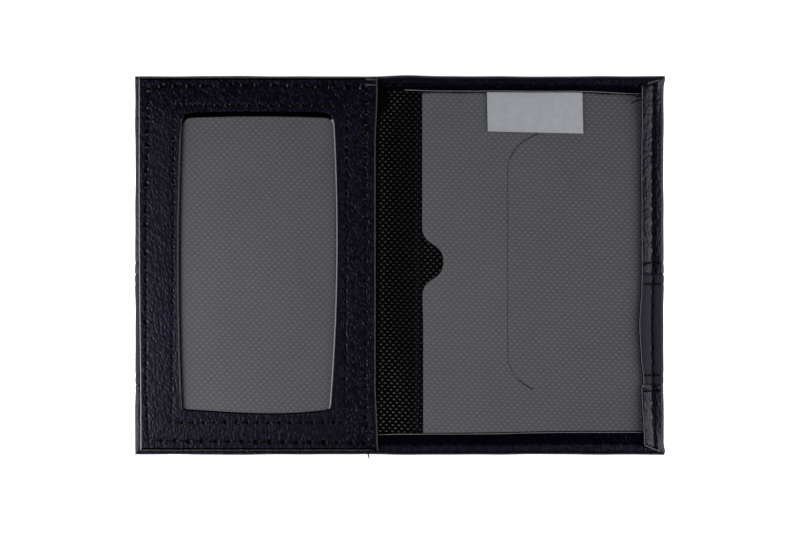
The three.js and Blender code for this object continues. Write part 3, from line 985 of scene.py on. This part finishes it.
def makeCoverPiece(skin, name, half, lowY, highY):
    activate(skin)
    bpy.ops.object.duplicate()
    piece = bpy.context.object
    piece.name = name
    cutAway(piece, (0, 0, 0), (-sideOf[half], 0, 0))
    if highY is not None:
        cutAway(piece, (0, highY, 0), (0, 1, 0))
    if lowY is not None:
        cutAway(piece, (0, lowY, 0), (0, -1, 0))
    places = placesOf(piece)
    outward = outwardOf(piece)
    outward[:, 1] = 0
    amount, swellAt, width = coverSet["seamSwell"]
    for seam in (lowY, highY):
        if seam is None:
            continue
        away = np.abs(places[:, 1] - seam)
        sunk = coverSet["seamDepth"] * unit(1 - away / coverSet["seamRound"]) ** 2
        swell = amount * hill(away - swellAt, width) * (places[:, 2] > 0.6)
        places = places + outward * (swell - sunk)[:, None]
    putPlaces(piece, places)
    skinFaces = len(piece.data.polygons)
    modify(piece, "SOLIDIFY", thickness=coverSet["thickness"] * mm, offset=-1, use_even_offset=False)
    finish = finishOf(piece)
    finish[skinFaces : 2 * skinFaces] = coverFinish["backing"]
    finish[2 * skinFaces :] = coverFinish["face"]
    putFinish(piece, finish)
    smoothByAngle(piece, 60)
    return piece


def blendToHalf(piece):
    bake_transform(piece)


def makeCover():
    skin = makeCoverSkin()
    ripMitres(skin)
    shapeSkin(skin)
    stripsOfCover = (
        ("upper", upperSeam, None, grained, "grained_leatherette"),
        ("band", lowerSeam, upperSeam, smooth, "smooth_leatherette"),
        ("lower", None, lowerSeam, grained, "grained_leatherette"),
    )
    for strip, lowY, highY, material, slot in stripsOfCover:
        for half in ("front", "back"):
            piece = makeCoverPiece(skin, f"{strip}Cover.{half}", half, lowY, highY)
            dress(piece, slot, material, backing, shaded)
            blendToHalf(piece)
            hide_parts(f"{half}_cover_{strip}", f"spine_cover_{strip}")
    bpy.data.objects.remove(skin)


makeCover()
print("cover ready")


# Window frame: rings from the cut window out to the sheet's edge, its mouth turned under
frameSet = {
    "left": 14.75,
    "mouth": 14.5,
    "upper": 13.88,
    "lower": 13.5,
    "inset": (0.1, 0.3),
    "sideBow": 1.2,
    "upperBow": 0.65,
    "lowerBow": 1.45,
    "lowerSkew": 1.35,
    "cornerIn": 1.3,
    "rings": 52,
    "ringsByWindow": (0, 0.009, 0.018, 0.028, 0.04, 0.057, 0.079, 0.1, 0.13),
    "ringsBetween": (0.155, 0.94),
    "ringsByEdge": (0.955, 0.968, 0.98, 0.99, 1),
    "spacing": 0.55,
    "thickness": 0.7,
    "edgeRun": 0.7,
    "edgeDrop": 0.42,
    "edgeSlope": 0.22,
    "shoulder": {
        "left": (1.3, -0.14, 1),
        "right": (1.2, 0.1, 1),
        "upper": (2.6, 0.1, 2),
        "lower": (1.4, 0.1, 2),
    },
    "wall": {
        "left": (0.33, 0.5, 1.3),
        "right": (0.42, 0.3, 1),
        "upper": (1.8, 0.6, 1.3),
        "lower": (0.42, 0.5, 1.3),
    },
    "corners": (1.3, 2.6),
    "cutEdge": 0.16,
    "cutDrop": 0.2,
    "cutFrom": {"left": 0.983, "other": 0.993, "shaded": 0.945},
    "mouthSet": 0.4,
    "mouthRun": 1.3,
    "mouthDrop": 0.06,
    "mouthRadius": 0.45,
    "mouthSteps": 8,
    "mouthHem": 6.4,
    "pulledGrain": 0.8,
    "rimWidth": 0.45,
    "rise": 0.1,
    "waves": (0.05, 23, 0.8),
    "spill": (0.7, -0.1, 0.3),
    "lean": 0.6,
    "widerHoles": 0.72,
    "paintedGlints": (0.3, 0.7),
}
frameFinish = {"face": 0, "shaded": 1, "backing": 2, "rim": 3}


def bowedSide(start, end, bow, skew, corners, points):
    start = np.array(start, float)
    leg = np.array(end, float) - start
    length = np.linalg.norm(leg)
    along = leg / length
    out = np.array([along[1], -along[0]])
    share = np.linspace(0, 1, points)
    gone = share * length
    fromEnd = np.minimum(gone, length - gone)
    corner = np.where(share < 0.5, corners[0], corners[1])
    left = unit(1 - fromEnd / corner)
    drop = corner * (1 - 1 / math.sqrt(2))
    inward = bow * 4 * share**skew * (1 - share**skew) - drop * left**2
    slide = drop * left * np.where(share < 0.5, 1, -1)
    return start + np.outer(gone + slide, along) + np.outer(inward, out)


# The window's outline and the sheet's outer edge, point for point
def frameOutlines(low, high):
    sideBow, upperBow, lowerBow = (frameSet[side + "Bow"] for side in ("side", "upper", "lower"))
    cornerIn = frameSet["cornerIn"]
    innerLow = frameLow[:2] + (frameSet["left"] + sideBow, frameSet["lower"] + lowerBow)
    innerHigh = frameHigh[:2] - (frameSet["mouth"] + sideBow, frameSet["upper"] + upperBow)
    lowerRight = (innerHigh[0] - cornerIn, innerLow[1])
    innerCorners = [innerLow, lowerRight, innerHigh, (innerLow[0], innerHigh[1])]
    outerCorners = np.array([low, (high[0], low[1]), high, (low[0], high[1])])
    bows = (lowerBow, sideBow + cornerIn / 2, upperBow, sideBow)
    skews = (frameSet["lowerSkew"], 1, 1, 1)
    tight, wide = frameSet["corners"]
    rounds = ((tight, tight), (tight, wide), (wide, wide), (wide, tight))
    inner = []
    outer = []
    for index in range(4):
        after = (index + 1) % 4
        start = outerCorners[index]
        leg = outerCorners[after] - start
        count = int(round(np.linalg.norm(leg) / frameSet["spacing"]))
        outer.append(start + np.outer(np.linspace(0, 1, count + 1)[:-1], leg))
        ends = (innerCorners[index], innerCorners[after])
        inner.append(bowedSide(*ends, bows[index], skews[index], rounds[index], count + 1)[:-1])
    return np.concatenate(inner), np.concatenate(outer)


def makeRings(around):
    deselectAll()
    bpy.ops.mesh.primitive_circle_add(vertices=around, radius=0.01, fill_type="NOTHING")
    panel = bpy.context.object
    panel.name = "windowFrame"
    openEdit(panel)
    bpy.ops.mesh.select_mode(type="EDGE")
    bpy.ops.mesh.select_all(action="SELECT")
    for ring in range(frameSet["rings"]):
        extrude(0, 0, 1)
    closeEdit()
    return panel


def makeFrame():
    low = frameLow[:2] + frameSet["inset"]
    high = frameHigh[:2] - (frameSet["mouthSet"] + frameSet["mouthRadius"], 0)
    inner, outer = frameOutlines(low, high)
    panel = makeRings(len(inner))
    byWindow, byEdge = frameSet["ringsByWindow"], frameSet["ringsByEdge"]
    between = frameSet["rings"] + 1 - len(byWindow) - len(byEdge)
    shares = np.concatenate([byWindow, np.linspace(*frameSet["ringsBetween"], between), byEdge])
    places = placesOf(panel)
    turn = np.arctan2(-places[:, 0], places[:, 1]) / (2 * np.pi)
    around = np.rint(turn * len(inner)).astype(int) % len(inner)
    share = shares[np.rint(places[:, 2]).astype(int)]
    flat = inner[around] * (1 - share)[:, None] + outer[around] * share[:, None]
    tangent = np.roll(inner, -1, axis=0) - np.roll(inner, 1, axis=0)
    towards = np.column_stack([tangent[:, 1], -tangent[:, 0]]) / np.linalg.norm(tangent, axis=1)[:, None]
    towards = towards[around]
    toWindow = share * ((outer - inner)[around] * towards).sum(axis=1)
    x, y = flat.T
    toMouth = high[0] - x
    toLeft = x - low[0]
    toEnds = np.minimum(y - low[1], high[1] - y)
    toEdge = np.minimum(np.minimum(toLeft, toMouth), toEnds)
    # height
    dips, off, step = drawnIn(flat, sewing["frameValley"], "window", "mouth", "front")
    onFront = drawnIn(flat, sewing["frameValley"], "front")[1] < off + 0.001
    z = frameHigh[2] + frameSet["rise"] - dips
    z += sway(x + 1.7 * y, *frameSet["waves"]) * np.sin(np.pi * share)
    z -= frameSet["edgeSlope"] * ease(share) * ease((toMouth - 2) / 9)
    rounding = frameSet["edgeDrop"] * (1 - unit(toEdge / frameSet["edgeRun"])) ** 2
    z -= np.where(toMouth < frameSet["edgeRun"], 0, rounding)
    z -= frameSet["mouthDrop"] * (1 - unit(toMouth / frameSet["mouthRun"])) ** 2
    z -= frameSet["cutDrop"] * (1 - unit(toEdge / frameSet["cutEdge"])) * (toMouth > 1)
    weights = {}
    for side, axis, way in (("left", 0, -1), ("right", 0, 1), ("upper", 1, 1), ("lower", 1, -1)):
        weights[side] = towards[:, axis] ** 2 * (way * towards[:, axis] > 0)
    for part in ("shoulder", "wall"):
        sides = frameSet[part]
        mixed = [sum(weight * sides[side][index] for side, weight in weights.items()) for index in range(3)]
        run, drop, power = mixed
        z -= drop * (1 - unit(toWindow / run)) ** power
    # faces of the wall, its lit rim and the cut edge. All walls but the right one, and a strip along the
    # upper and lower edges, get the near-black shaded finish: painted shade. The right wall shows the pale
    # backing, and the strip beside the left wall gets the rim finish, a painted highlight
    corners = readAll(panel.data.loops, "vertex_index", 1, np.int32).reshape(-1, 4)
    onWall = (toWindow / run)[corners].mean(axis=1) < 0.95
    litWall = onWall & (weights["right"][corners].mean(axis=1) > 0.5)
    besideWall = ~onWall & ((toWindow - run)[corners].mean(axis=1) < frameSet["rimWidth"])
    litRim = besideWall & (weights["left"][corners].mean(axis=1) > 0.5)
    atEnds = (np.abs(toEnds - toEdge) < 0.001)[corners].mean(axis=1) > 0.9
    atLeft = (np.abs(toLeft - toEdge) < 0.001)[corners].mean(axis=1) > 0.9
    outward = share[corners].mean(axis=1)
    cutFrom = frameSet["cutFrom"]
    onCut = outward > np.where(atLeft, cutFrom["left"], cutFrom["other"])
    onCut &= toMouth[corners].min(axis=1) > 1
    dark = onWall | (atEnds & (outward > cutFrom["shaded"]))
    finish = np.where(dark, frameFinish["shaded"], frameFinish["face"])
    finish = np.where(litRim, frameFinish["rim"], finish)
    putFinish(panel, np.where(onCut | litWall, frameFinish["backing"], finish))
    putPlaces(panel, np.column_stack([flat, z]))
    keepSeams(panel, off * np.where(onFront, frameSet["widerHoles"], 1), step)
    pulled = (weights["left"] + weights["right"]) * (1 - ease((toWindow - 0.7) / 1.2))
    grainAndShade, relief, roll = panelGrain(flat)
    pulled = np.maximum(pulled, roll)
    keepAmount(panel, "grainAndShade", grainAndShade * (1 - pulled) + frameSet["pulledGrain"] * pulled)
    keepAmount(panel, "relief", relief * (1 - pulled))
    # More painted glints towards the top of the frame
    few, more = frameSet["paintedGlints"]
    keepAmount(panel, "paintedGlints", few + more * ease((y - 20) / 25))
    turnMouth(panel, high)
    spillFrame(panel, low, high)
    thickenFrame(panel, low, high)
    dress(panel, "grained_leatherette", grained, shaded, backing, rim)
    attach(panel, "front")
    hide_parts("window_frame")


# Grain is pulled flat beside the window, along the turned mouth and at the outer edge. Less grain also
# darkens the colour: painted shade towards the top and the mouth.
def panelGrain(places):
    x, y = places[:, 0], places[:, 1]
    pastX = np.maximum(windowSewLow[0] - x, x - windowSewHigh[0])
    pastY = np.maximum(windowSewLow[1] - y, y - windowSewHigh[1])
    byWindow = 0.92 + 0.08 * ease((np.maximum(pastX, pastY) + 0.8) / 1.8)
    byMouth = 0.66 + 0.34 * ease((windowSewHigh[0] - x + 3) / 6)
    byUpper = 1 - 0.45 * ease((y - windowSewHigh[1] + 8) / 10)
    roll = 1 - ease((frameHigh[0] - x - 0.5) / 1.2)
    far = np.minimum(byMouth, byUpper)
    return byWindow * far, 1 + 0.6 * (1 - far), roll


def turnMouth(panel, high):
    pickEdges(panel, placesOf(panel)[:, 0] > high[0] - 0.01)
    radius = frameSet["mouthRadius"]
    steps = frameSet["mouthSteps"]
    for step in range(steps):
        now = math.pi * step / steps
        then = math.pi * (step + 1) / steps
        extrude(radius * (math.sin(then) - math.sin(now)), 0, -radius * (math.cos(now) - math.cos(then)))
    extrude(-frameSet["mouthHem"], 0, 0)
    closeEdit()
    # The turned mouth's roll gets the rim finish: a painted highlight
    middles = faceMiddles(panel)
    onRoll = (middles[:, 0] > high[0] - 0.1) & (middles[:, 2] > frameHigh[2] + frameSet["rise"] - 0.2)
    putFinish(panel, np.where(onRoll, frameFinish["rim"], finishOf(panel)))


# The mouth spreads at its two ends, and the left edge leans in below
def spillFrame(panel, low, high):
    places = placesOf(panel)
    x, y = places.T[:2]
    reach = np.abs(y)
    both, upper, lower = frameSet["spill"]
    spill = both * ease((reach - 42) / 20) + np.where(y > 0, upper, lower) * ease((reach - 62) / 5)
    x += spill * ease((x - high[0] + 6) / 6)
    x += frameSet["lean"] * ease((20 - y) / 80) * ease(1 - (x - low[0]) / 6)
    putPlaces(panel, places)


def thickenFrame(panel, low, high):
    openEdit(panel)
    bpy.ops.mesh.normals_make_consistent(inside=False)
    closeEdit()
    if outwardOf(panel)[0, 2] < 0:
        openEdit(panel)
        bpy.ops.mesh.flip_normals()
        closeEdit()
    topCount = len(panel.data.vertices)
    modify(panel, "SOLIDIFY", thickness=frameSet["thickness"] * mm, offset=-1)
    places = placesOf(panel)
    x, y, z = places.T
    below = np.arange(len(places)) >= topCount
    under = below & (x < high[0] - frameSet["mouthHem"] - 1)
    z[under] = np.maximum(z[under], frameLow[2] + 0.01)
    ends = below & (x < high[0] - 0.1) & (np.minimum(y - low[1], high[1] - y) < 1.2)
    z[ends] = np.minimum(z[ends], frameHigh[2] - 0.95)
    putPlaces(panel, places)
    smoothByAngle(panel, 60)


makeFrame()
print("window frame ready")


# Lining: one woven sheet in two halves that meet on the spine
liningSet = {
    "bare": 9,
    "bareStep": 0.28,
    "step": 0.5,
    "fold": 4.875,
    "board": 7.5,
    "slack": (0.06, 31, 2.2),
    "knotLightAt": -5.6,
    "knotLightWidth": 2.4,
    "knotLight": (0.32, 0.66, 0.56),
}


# Knots get a painted highlight along the left of the bare fold, and over all of it at its lower end, and a
# painted shadow right beside the pocket mouth
def paintedKnotLight(places):
    x, y = places[:, 0], places[:, 1]
    middle = liningSet["knotLightAt"] + 4 * hill(y - 60, 6)
    low = ease((-y - 15) / 45)
    width = liningSet["knotLightWidth"] + 6 * low
    dull, pale, covered = liningSet["knotLight"]
    knotLight = dull + (pale + 0.5 * low) * hill(x - middle, width)
    knotLight = knotLight * ease((x - middle) / liningSet["knotLightWidth"] + 1.4)
    bare = ease((9.2 - np.abs(x)) / 0.8)
    return covered * (1 - bare) + knotLight * bare


def makeLining(half):
    low, high = nodeBox(half + "_lining")
    far = max(abs(low[0]), abs(high[0]))
    edge = liningSet["bare"]
    bare = np.arange(0, edge, liningSet["bareStep"])
    rest = np.linspace(edge, far, int(round((far - edge) / liningSet["step"])) + 1)
    xs = np.sort(sideOf[half] * np.concatenate([bare, rest]))
    ys = np.linspace(low[1], high[1], int(round((high[1] - low[1]) / (weaveSet["along"] / 3))) + 1)
    cloth = gridAt("wovenLining." + half, xs, ys, 0)
    places = placesOf(cloth)
    x, y, z = places.T
    rise = ease((np.abs(x) - liningSet["fold"]) / (liningSet["board"] - liningSet["fold"]))
    spineTop = nodeBox("spine_lining")[1][2]
    level = spineTop + (high[2] - spineTop) * rise
    turned = (x + 1j * y) * np.exp(1j * weaveSet["turn"])
    weave = np.cos(np.pi * turned.real / weaveSet["across"]) * np.cos(np.pi * turned.imag / weaveSet["along"])
    relief = weaveSet["relief"] * (np.where(weave > 0, weave, -0.3 * weave) - weaveSet["sunk"])
    z[:] = level + relief + sway(y, *liningSet["slack"]) * (1 - rise)
    putPlaces(cloth, places)
    keepAmount(cloth, "fold", paintedKnotLight(places))
    activate(cloth)
    bpy.ops.object.shade_smooth()
    dress(cloth, "woven_lining", woven)
    blendToHalf(cloth)
    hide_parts(half + "_lining", "spine_lining")


makeLining("front")
makeLining("back")
print("lining ready")


# Clear films
clearSet = {
    "step": 2.2,
    "swell": 0.3,
    "windowWave": (0.05, 52, 0.3),
    "notchWidth": 25,
    "notchDepth": 7.7,
    "notchCentre": 1.2,
    "slitOffset": 30.9,
    "slitStraight": 64.1,
    "slitCentre": 0.95,
    "upperHook": (11, 14),
    "lowerHook": (9.3, -13.3),
    "slitWidth": 0.15,
    "openWidths": (0.3, 0.36),
    "edgeShift": (0.4, 0.35),
    "edgeWave": (0.10, 70, 0.9),
    "pocketWave": (0.04, 47, 1.9),
    "shadowGap": 0.2,
    "shadowFade": 1.1,
    "shadowWave": (0.2, 13, 0.7),
    "reflectionFade": 0.22,
}


def makeWindowFilm():
    low, high = nodeBox("window_film")
    windowLow = frameLow[:2] + (frameSet["left"], frameSet["lower"])
    windowHigh = frameHigh[:2] - (frameSet["mouth"], frameSet["upper"])
    xs = lines(low[0], high[0], clearSet["step"], (windowLow[0], windowHigh[0]), 3.0, 0.5)
    ys = lines(low[1], high[1], clearSet["step"], (windowLow[1], windowHigh[1]), 3.0, 0.5)
    film = gridAt("windowFilm", xs, ys, high[2])
    places = placesOf(film)
    fromEdge = np.minimum(places[:, :2] - windowLow, windowHigh - places[:, :2]).min(axis=1)
    x, y, z = places.T
    z += -0.05 + clearSet["swell"] * ease((fromEdge + 0.9) / 1.4)
    z += sway(x, *clearSet["windowWave"]) * np.cos(y / 40)
    putPlaces(film, places)
    modify(film, "SOLIDIFY", thickness=(high[2] - low[2]) * mm, offset=-1)
    smoothByAngle(film)
    dress(film, "clear_film", windowClear)
    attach(film, "front")
    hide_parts("window_film")


def slitLine(left):
    x = left + clearSet["slitOffset"]
    upper = clearSet["slitCentre"] + clearSet["slitStraight"] / 2
    lower = clearSet["slitCentre"] - clearSet["slitStraight"] / 2
    turn = np.linspace(1, 0, 12)[:, None]
    hook = 2 * turn * (1 - turn) * np.array([0, 0.7]) + turn**2
    upperHook = hook * clearSet["upperHook"] + (x, upper)
    lowerHook = hook[::-1] * clearSet["lowerHook"] + (x, lower)
    return np.concatenate([upperHook, lowerHook])


# An S-curve down into the notch and the same one back, closed outside the film
def notchLine(left):
    deep = clearSet["notchDepth"]
    half = clearSet["notchWidth"] / 2
    centre = clearSet["notchCentre"]
    reach = 0.3 * clearSet["notchWidth"]
    t = np.linspace(0, 1, 20)
    x = deep * (3 * (1 - t) * t**2 + t**3)
    y = half * (1 - t) ** 3 + 3 * (half - reach) * (1 - t) ** 2 * t + 3 * reach * (1 - t) * t**2
    down = np.column_stack([left + x, centre + y])
    back = np.column_stack([left + x, centre - y])[::-1][1:]
    outside = [(left - 3, centre - half), (left - 3, centre + half)]
    return np.concatenate([down, back, outside])


def cutter(name, outline, low, high, closed):
    mesh = bpy.data.meshes.new(name)
    count = len(outline)
    edges = [(index, (index + 1) % count) for index in range(count if closed else count - 1)]
    mesh.from_pydata([(x * mm, y * mm, low * mm) for x, y in outline], edges, [])
    piece = bpy.data.objects.new(name, mesh)
    bpy.context.scene.collection.objects.link(piece)
    openEdit(piece)
    if closed:
        bpy.ops.mesh.edge_face_add()
    extrude(0, 0, high - low)
    bpy.ops.mesh.select_all(action="SELECT")
    bpy.ops.mesh.normals_make_consistent(inside=False)
    closeEdit()
    return piece


def makePocket():
    low, high = nodeBox("clear_pocket")
    xs = lines(low[0], high[0], clearSet["step"])
    hemEdge = coverHigh[1] - coverSet["hems"]["upper"]
    ys = lines(low[1], high[1], clearSet["step"], (hemEdge - 1.2,), 1.6, 0.4)
    film = gridAt("clearPocket", xs, ys, high[2])
    modify(film, "SOLIDIFY", thickness=(high[2] - low[2]) * mm, offset=-1)
    tools = [cutter("notchCutter", notchLine(low[0]), low[2] - 1, high[2] + 1, True)]
    slit = slitLine(low[0])
    upperWidth, lowerWidth = clearSet["openWidths"]
    for part, width in ((slit, clearSet["slitWidth"]), (slit[:9], upperWidth), (slit[-5:], lowerWidth)):
        slitCutter = cutter("slitCutter", part, low[2] - 1, high[2] + 1, False)
        modify(slitCutter, "SOLIDIFY", thickness=width * mm, offset=0)
        tools.append(slitCutter)
    for tool in tools:
        modify(film, "BOOLEAN", operation="DIFFERENCE", object=tool, solver="EXACT")
        bpy.data.objects.remove(tool)
    places = placesOf(film)
    x, y, z = places.T
    gone = x - low[0]
    shift, more = clearSet["edgeShift"]
    x += ease(1 - gone / 20) * (shift + more * ease((-y - 5) / 20))
    z += ease(1 - gone / 14) * (clearSet["edgeWave"][0] + sway(y, *clearSet["edgeWave"]))
    z += sway(x + 0.4 * y, *clearSet["pocketWave"])
    putPlaces(film, places)
    smoothByAngle(film)
    # The veil is taken away just under the upper hem's edge, a painted shadow of the hem, and thins towards
    # the right, a painted fade of the reflection
    under = hemEdge - leanIn("hemDroop", x) - y + sway(x, *clearSet["shadowWave"])
    paintedShadeFade = 1 - ease((under - clearSet["shadowGap"]) / clearSet["shadowFade"])
    reflectionFade = clearSet["reflectionFade"] * ease((x - low[0]) / (high[0] - low[0]))
    keepAmount(film, "paintedShadeFade", np.maximum(paintedShadeFade, reflectionFade))
    dress(film, "clear_film", pocketClear)
    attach(film, "back")
    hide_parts("clear_pocket")


makeWindowFilm()
makePocket()
print("clear films ready")


# Label: a bare ribbon whose upper end is caught under the hem
labelSet = {
    "turn": 1.3,
    "narrower": 0.983,
    "longer": 1.02,
    "step": 0.7,
    "thickness": 0.18,
    "lift": (0.04, 0.06),
    "fold": 3,
    "ripple": (0.05, 24, 0.6),
}


def makeLabel():
    low, high = nodeBox("label")
    tailLow, tailHigh = nodeBox("label_tail")
    xs = lines(low[0], high[0], labelSet["step"])
    ys = lines(low[1], tailHigh[1], labelSet["step"])
    ribbon = gridAt("bareLabel", xs, ys, high[2])
    places = placesOf(ribbon)
    x, y, z = places.T
    centre = np.array([(low[0] + high[0]) / 2, tailLow[1]])
    lean = math.sin(math.radians(labelSet["turn"]))
    offX, offY = (places[:, :2] - centre).T
    flap = ease((tailLow[1] - y) / labelSet["fold"])
    x[:] = centre[0] + offX * labelSet["narrower"] - offY * lean
    y[:] = centre[1] - offX * lean * flap + offY * labelSet["longer"]
    tailLift, flapLift = labelSet["lift"]
    z += tailLift + flap * (flapLift + labelSet["ripple"][0] + sway(x, *labelSet["ripple"]))
    putPlaces(ribbon, places)
    modify(ribbon, "SOLIDIFY", thickness=labelSet["thickness"] * mm, offset=-1)
    smoothByAngle(ribbon)
    dress(ribbon, "label_satin", satin)
    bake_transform(ribbon)
    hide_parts("label", "label_tail")


makeLabel()
print("label ready")


# Sewing: one stitch is modelled, then copied along every seam
stitchSet = {"sides": 6, "profile": (0.45, 0.9, 1.0, 1.0, 0.9, 0.45), "gap": 0.1}


def modelStitch():
    deselectAll()
    laid = {"location": (-0.5, 0, 0), "rotation": (0, math.pi / 2, 0)}
    bpy.ops.mesh.primitive_circle_add(vertices=stitchSet["sides"], radius=1, fill_type="NGON", **laid)
    stitch = bpy.context.object
    bpy.ops.object.transform_apply(location=True, rotation=True, scale=True)
    profile = stitchSet["profile"]
    openEdit(stitch)
    bpy.ops.transform.resize(value=(1, profile[0], profile[0]), center_override=(0, 0, 0))
    for before, after in zip(profile[:-1], profile[1:]):
        extrude(1 / (len(profile) - 1) / mm, 0, 0)
        grow = after / before
        bpy.ops.transform.resize(value=(1, grow, grow), center_override=(0, 0, 0))
    bpy.ops.mesh.select_all(action="SELECT")
    bpy.ops.mesh.normals_make_consistent(inside=False)
    closeEdit()
    shape = placesOf(stitch) * mm
    faces = [tuple(face.vertices) for face in stitch.data.polygons]
    bpy.data.objects.remove(stitch)
    return shape, faces


stitchShape, stitchFaces = modelStitch()


# Each span is a stitch's start, end and the direction that it stands up in, and its radius where that differs
def sew(name, spans, material, radius=sewing["radius"], arch=0.12):
    points = []
    faces = []
    for index, (start, end, up, *thicker) in enumerate(spans):
        start, end, up = (np.array(value, float) for value in (start, end, up))
        around = thicker[0] if thicker else radius
        along = end - start
        across = np.cross(up, along)
        across /= np.linalg.norm(across)
        up = np.cross(along, across)
        up /= np.linalg.norm(up)
        bow = arch * (1 - 4 * stitchShape[:, 0] ** 2)
        body = (start + end) / 2 + np.outer(stitchShape[:, 0], along)
        body += np.outer(stitchShape[:, 1] * around, across) + np.outer(stitchShape[:, 2] * around + bow, up)
        faces += [tuple(corner + index * len(stitchShape) for corner in face) for face in stitchFaces]
        points.append(body)
    mesh = bpy.data.meshes.new(name)
    mesh.from_pydata([tuple(point) for point in np.concatenate(points) * mm], [], faces)
    piece = bpy.data.objects.new(name, mesh)
    bpy.context.scene.collection.objects.link(piece)
    smoothByAngle(piece, 80)
    return dress(piece, "sewing_thread", material)


def spansAlong(line, height, up=(0, 0, 1)):
    holes = needleHoles(line)
    spans = []
    for start, end in zip(holes[:-1], holes[1:]):
        near = start + (end - start) * stitchSet["gap"]
        far = end - (end - start) * stitchSet["gap"]
        spans.append(((*near, height), (*far, height), up))
    return spans


def sewEdges():
    sunk = sewing["frameValley"] + sewing["groove"] + sewing["frameSunk"]
    frontSeams = (
        ("window", "windowStitches", "window_thread"),
        ("mouth", "mouthStitches", "pocket_mouth_thread"),
        ("front", "frontEdgeStitches", "front_edge_thread"),
    )
    for line, name, solid in frontSeams:
        piece = sew(name, spansAlong(line, frameHigh[2] - sunk), navyThread)
        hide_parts(solid)
        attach(piece, "front")
    inside = hemHigh - sewing["hemValley"] - sewing["groove"] - sewing["hemSunk"]
    back = sew("backEdgeStitches", spansAlong("back", inside), navyThread)
    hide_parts("back_edge_thread")
    blendToHalf(back)
    spans = spansAlong("spineUpper", inside) + spansAlong("spineLower", inside)
    spine = sew("spineEdgeStitches", spans, navyThread)
    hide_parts("spine_edge_thread_upper", "spine_edge_thread_lower")
    blendToHalf(spine)
    under = sewing["radius"] + sewing["outsideSunk"]
    for half, line in (("front", "frontOutside"), ("back", "back")):
        outside = sew("outsideEdgeStitches." + half, spansAlong(line, under, (0, 0, -1)), navyThread)
        blendToHalf(outside)


rowSet = {"rimIn": 0.22, "rimEnds": 0.55, "seamSunk": 0.55, "innerIn": 0.5, "innerSunk": 0.15, "thick": 0.3}


# A row runs along the outside, over the rim and back to the hem's raw edge
def sewRows():
    edge = coverHigh[0] - coverSet["roll"]
    marks = np.linspace(0, edge, round(edge / sewing["rowPitch"]) + 1)
    step = marks[1] * stitchSet["gap"]
    under = sewing["radius"] + sewing["outsideSunk"]
    rimAt = edge + coverSet["roll"] - rowSet["rimIn"]
    ends = rowSet["rimEnds"]
    for half, side in sideOf.items():
        innerX = coverHigh[0] - coverSet["hems"][half] + rowSet["innerIn"]
        tilt = coverSet["backTilt"] if half == "back" else 0
        for rowName, row in rowPlaces.items():
            spans = []
            for near, far in zip(marks[:-1], marks[1:]):
                start = (side * (near + step), row, under)
                spans.append((start, (side * (far - step), row, under), (0, 0, -1)))
            spans.append(((side * rimAt, row, ends), (side * rimAt, row, hemHigh - ends), (side, 0, 0)))
            seam = (side * backSewX, row, hemHigh - rowSet["seamSunk"])
            innerEnd = (side * innerX, row, hemHigh - rowSet["innerSunk"] + 0.6 * tilt)
            outerEnd = (side * (edge + 0.3), row, hemHigh - 0.3)
            for start, end in ((innerEnd, seam), (seam, outerEnd)):
                spans.append((start, end, (0, 0, 1), rowSet["thick"]))
            piece = sew(f"rowStitches.{rowName}.{half}", spans, navyThread)
            blendToHalf(piece)
            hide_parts(f"{half}_row_{rowName}", f"spine_row_{rowName}")


tackSet = {
    "strokes": (-0.95, 0.95),
    "radius": 0.32,
    "arch": 0.1,
    "lift": 0.02,
    "shift": {"upper": (0.55, 1.05), "lower": (0, 0)},
    "thread": {"upper": tackThread, "lower": navyThread},
}


def sewTacks():
    for end, (right, further) in tackSet["shift"].items():
        low, high = nodeBox("bar_tack_" + end)
        middle = (low[1] + high[1]) / 2 + further
        level = low[2] + tackSet["lift"]
        spans = []
        for offset in tackSet["strokes"]:
            start = (low[0] + right, middle + offset, level)
            spans.append((start, (high[0] + right, middle + offset, level), (0, 0, 1)))
        piece = sew("barTack." + end, spans, tackSet["thread"][end], tackSet["radius"], tackSet["arch"])
        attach(piece, "front")
        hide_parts("bar_tack_" + end)


looseSet = {
    "radius": 0.25,
    "arch": 0.02,
    "front": [((-11.5, -66.2, 3.4), (-10.85, -69.5, 2.6))],
    "back": [
        ((86.4, 60.7, 4.6), (82.6, 60.8, 4.3)),
        ((86.4, 60.2, 4.6), (84.2, 60.0, 4.3)),
        ((86.4, 59.3, 4.6), (82.4, 57.7, 4.3)),
    ],
}


def sewLooseEnds():
    for half in ("front", "back"):
        spans = [(start, end, (0, 0, 1)) for start, end in looseSet[half]]
        piece = sew("looseEnds." + half, spans, navyThread, looseSet["radius"], looseSet["arch"])
        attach(piece, half)


sewEdges()
sewRows()
sewTacks()
sewLooseEnds()
print("sewing ready")
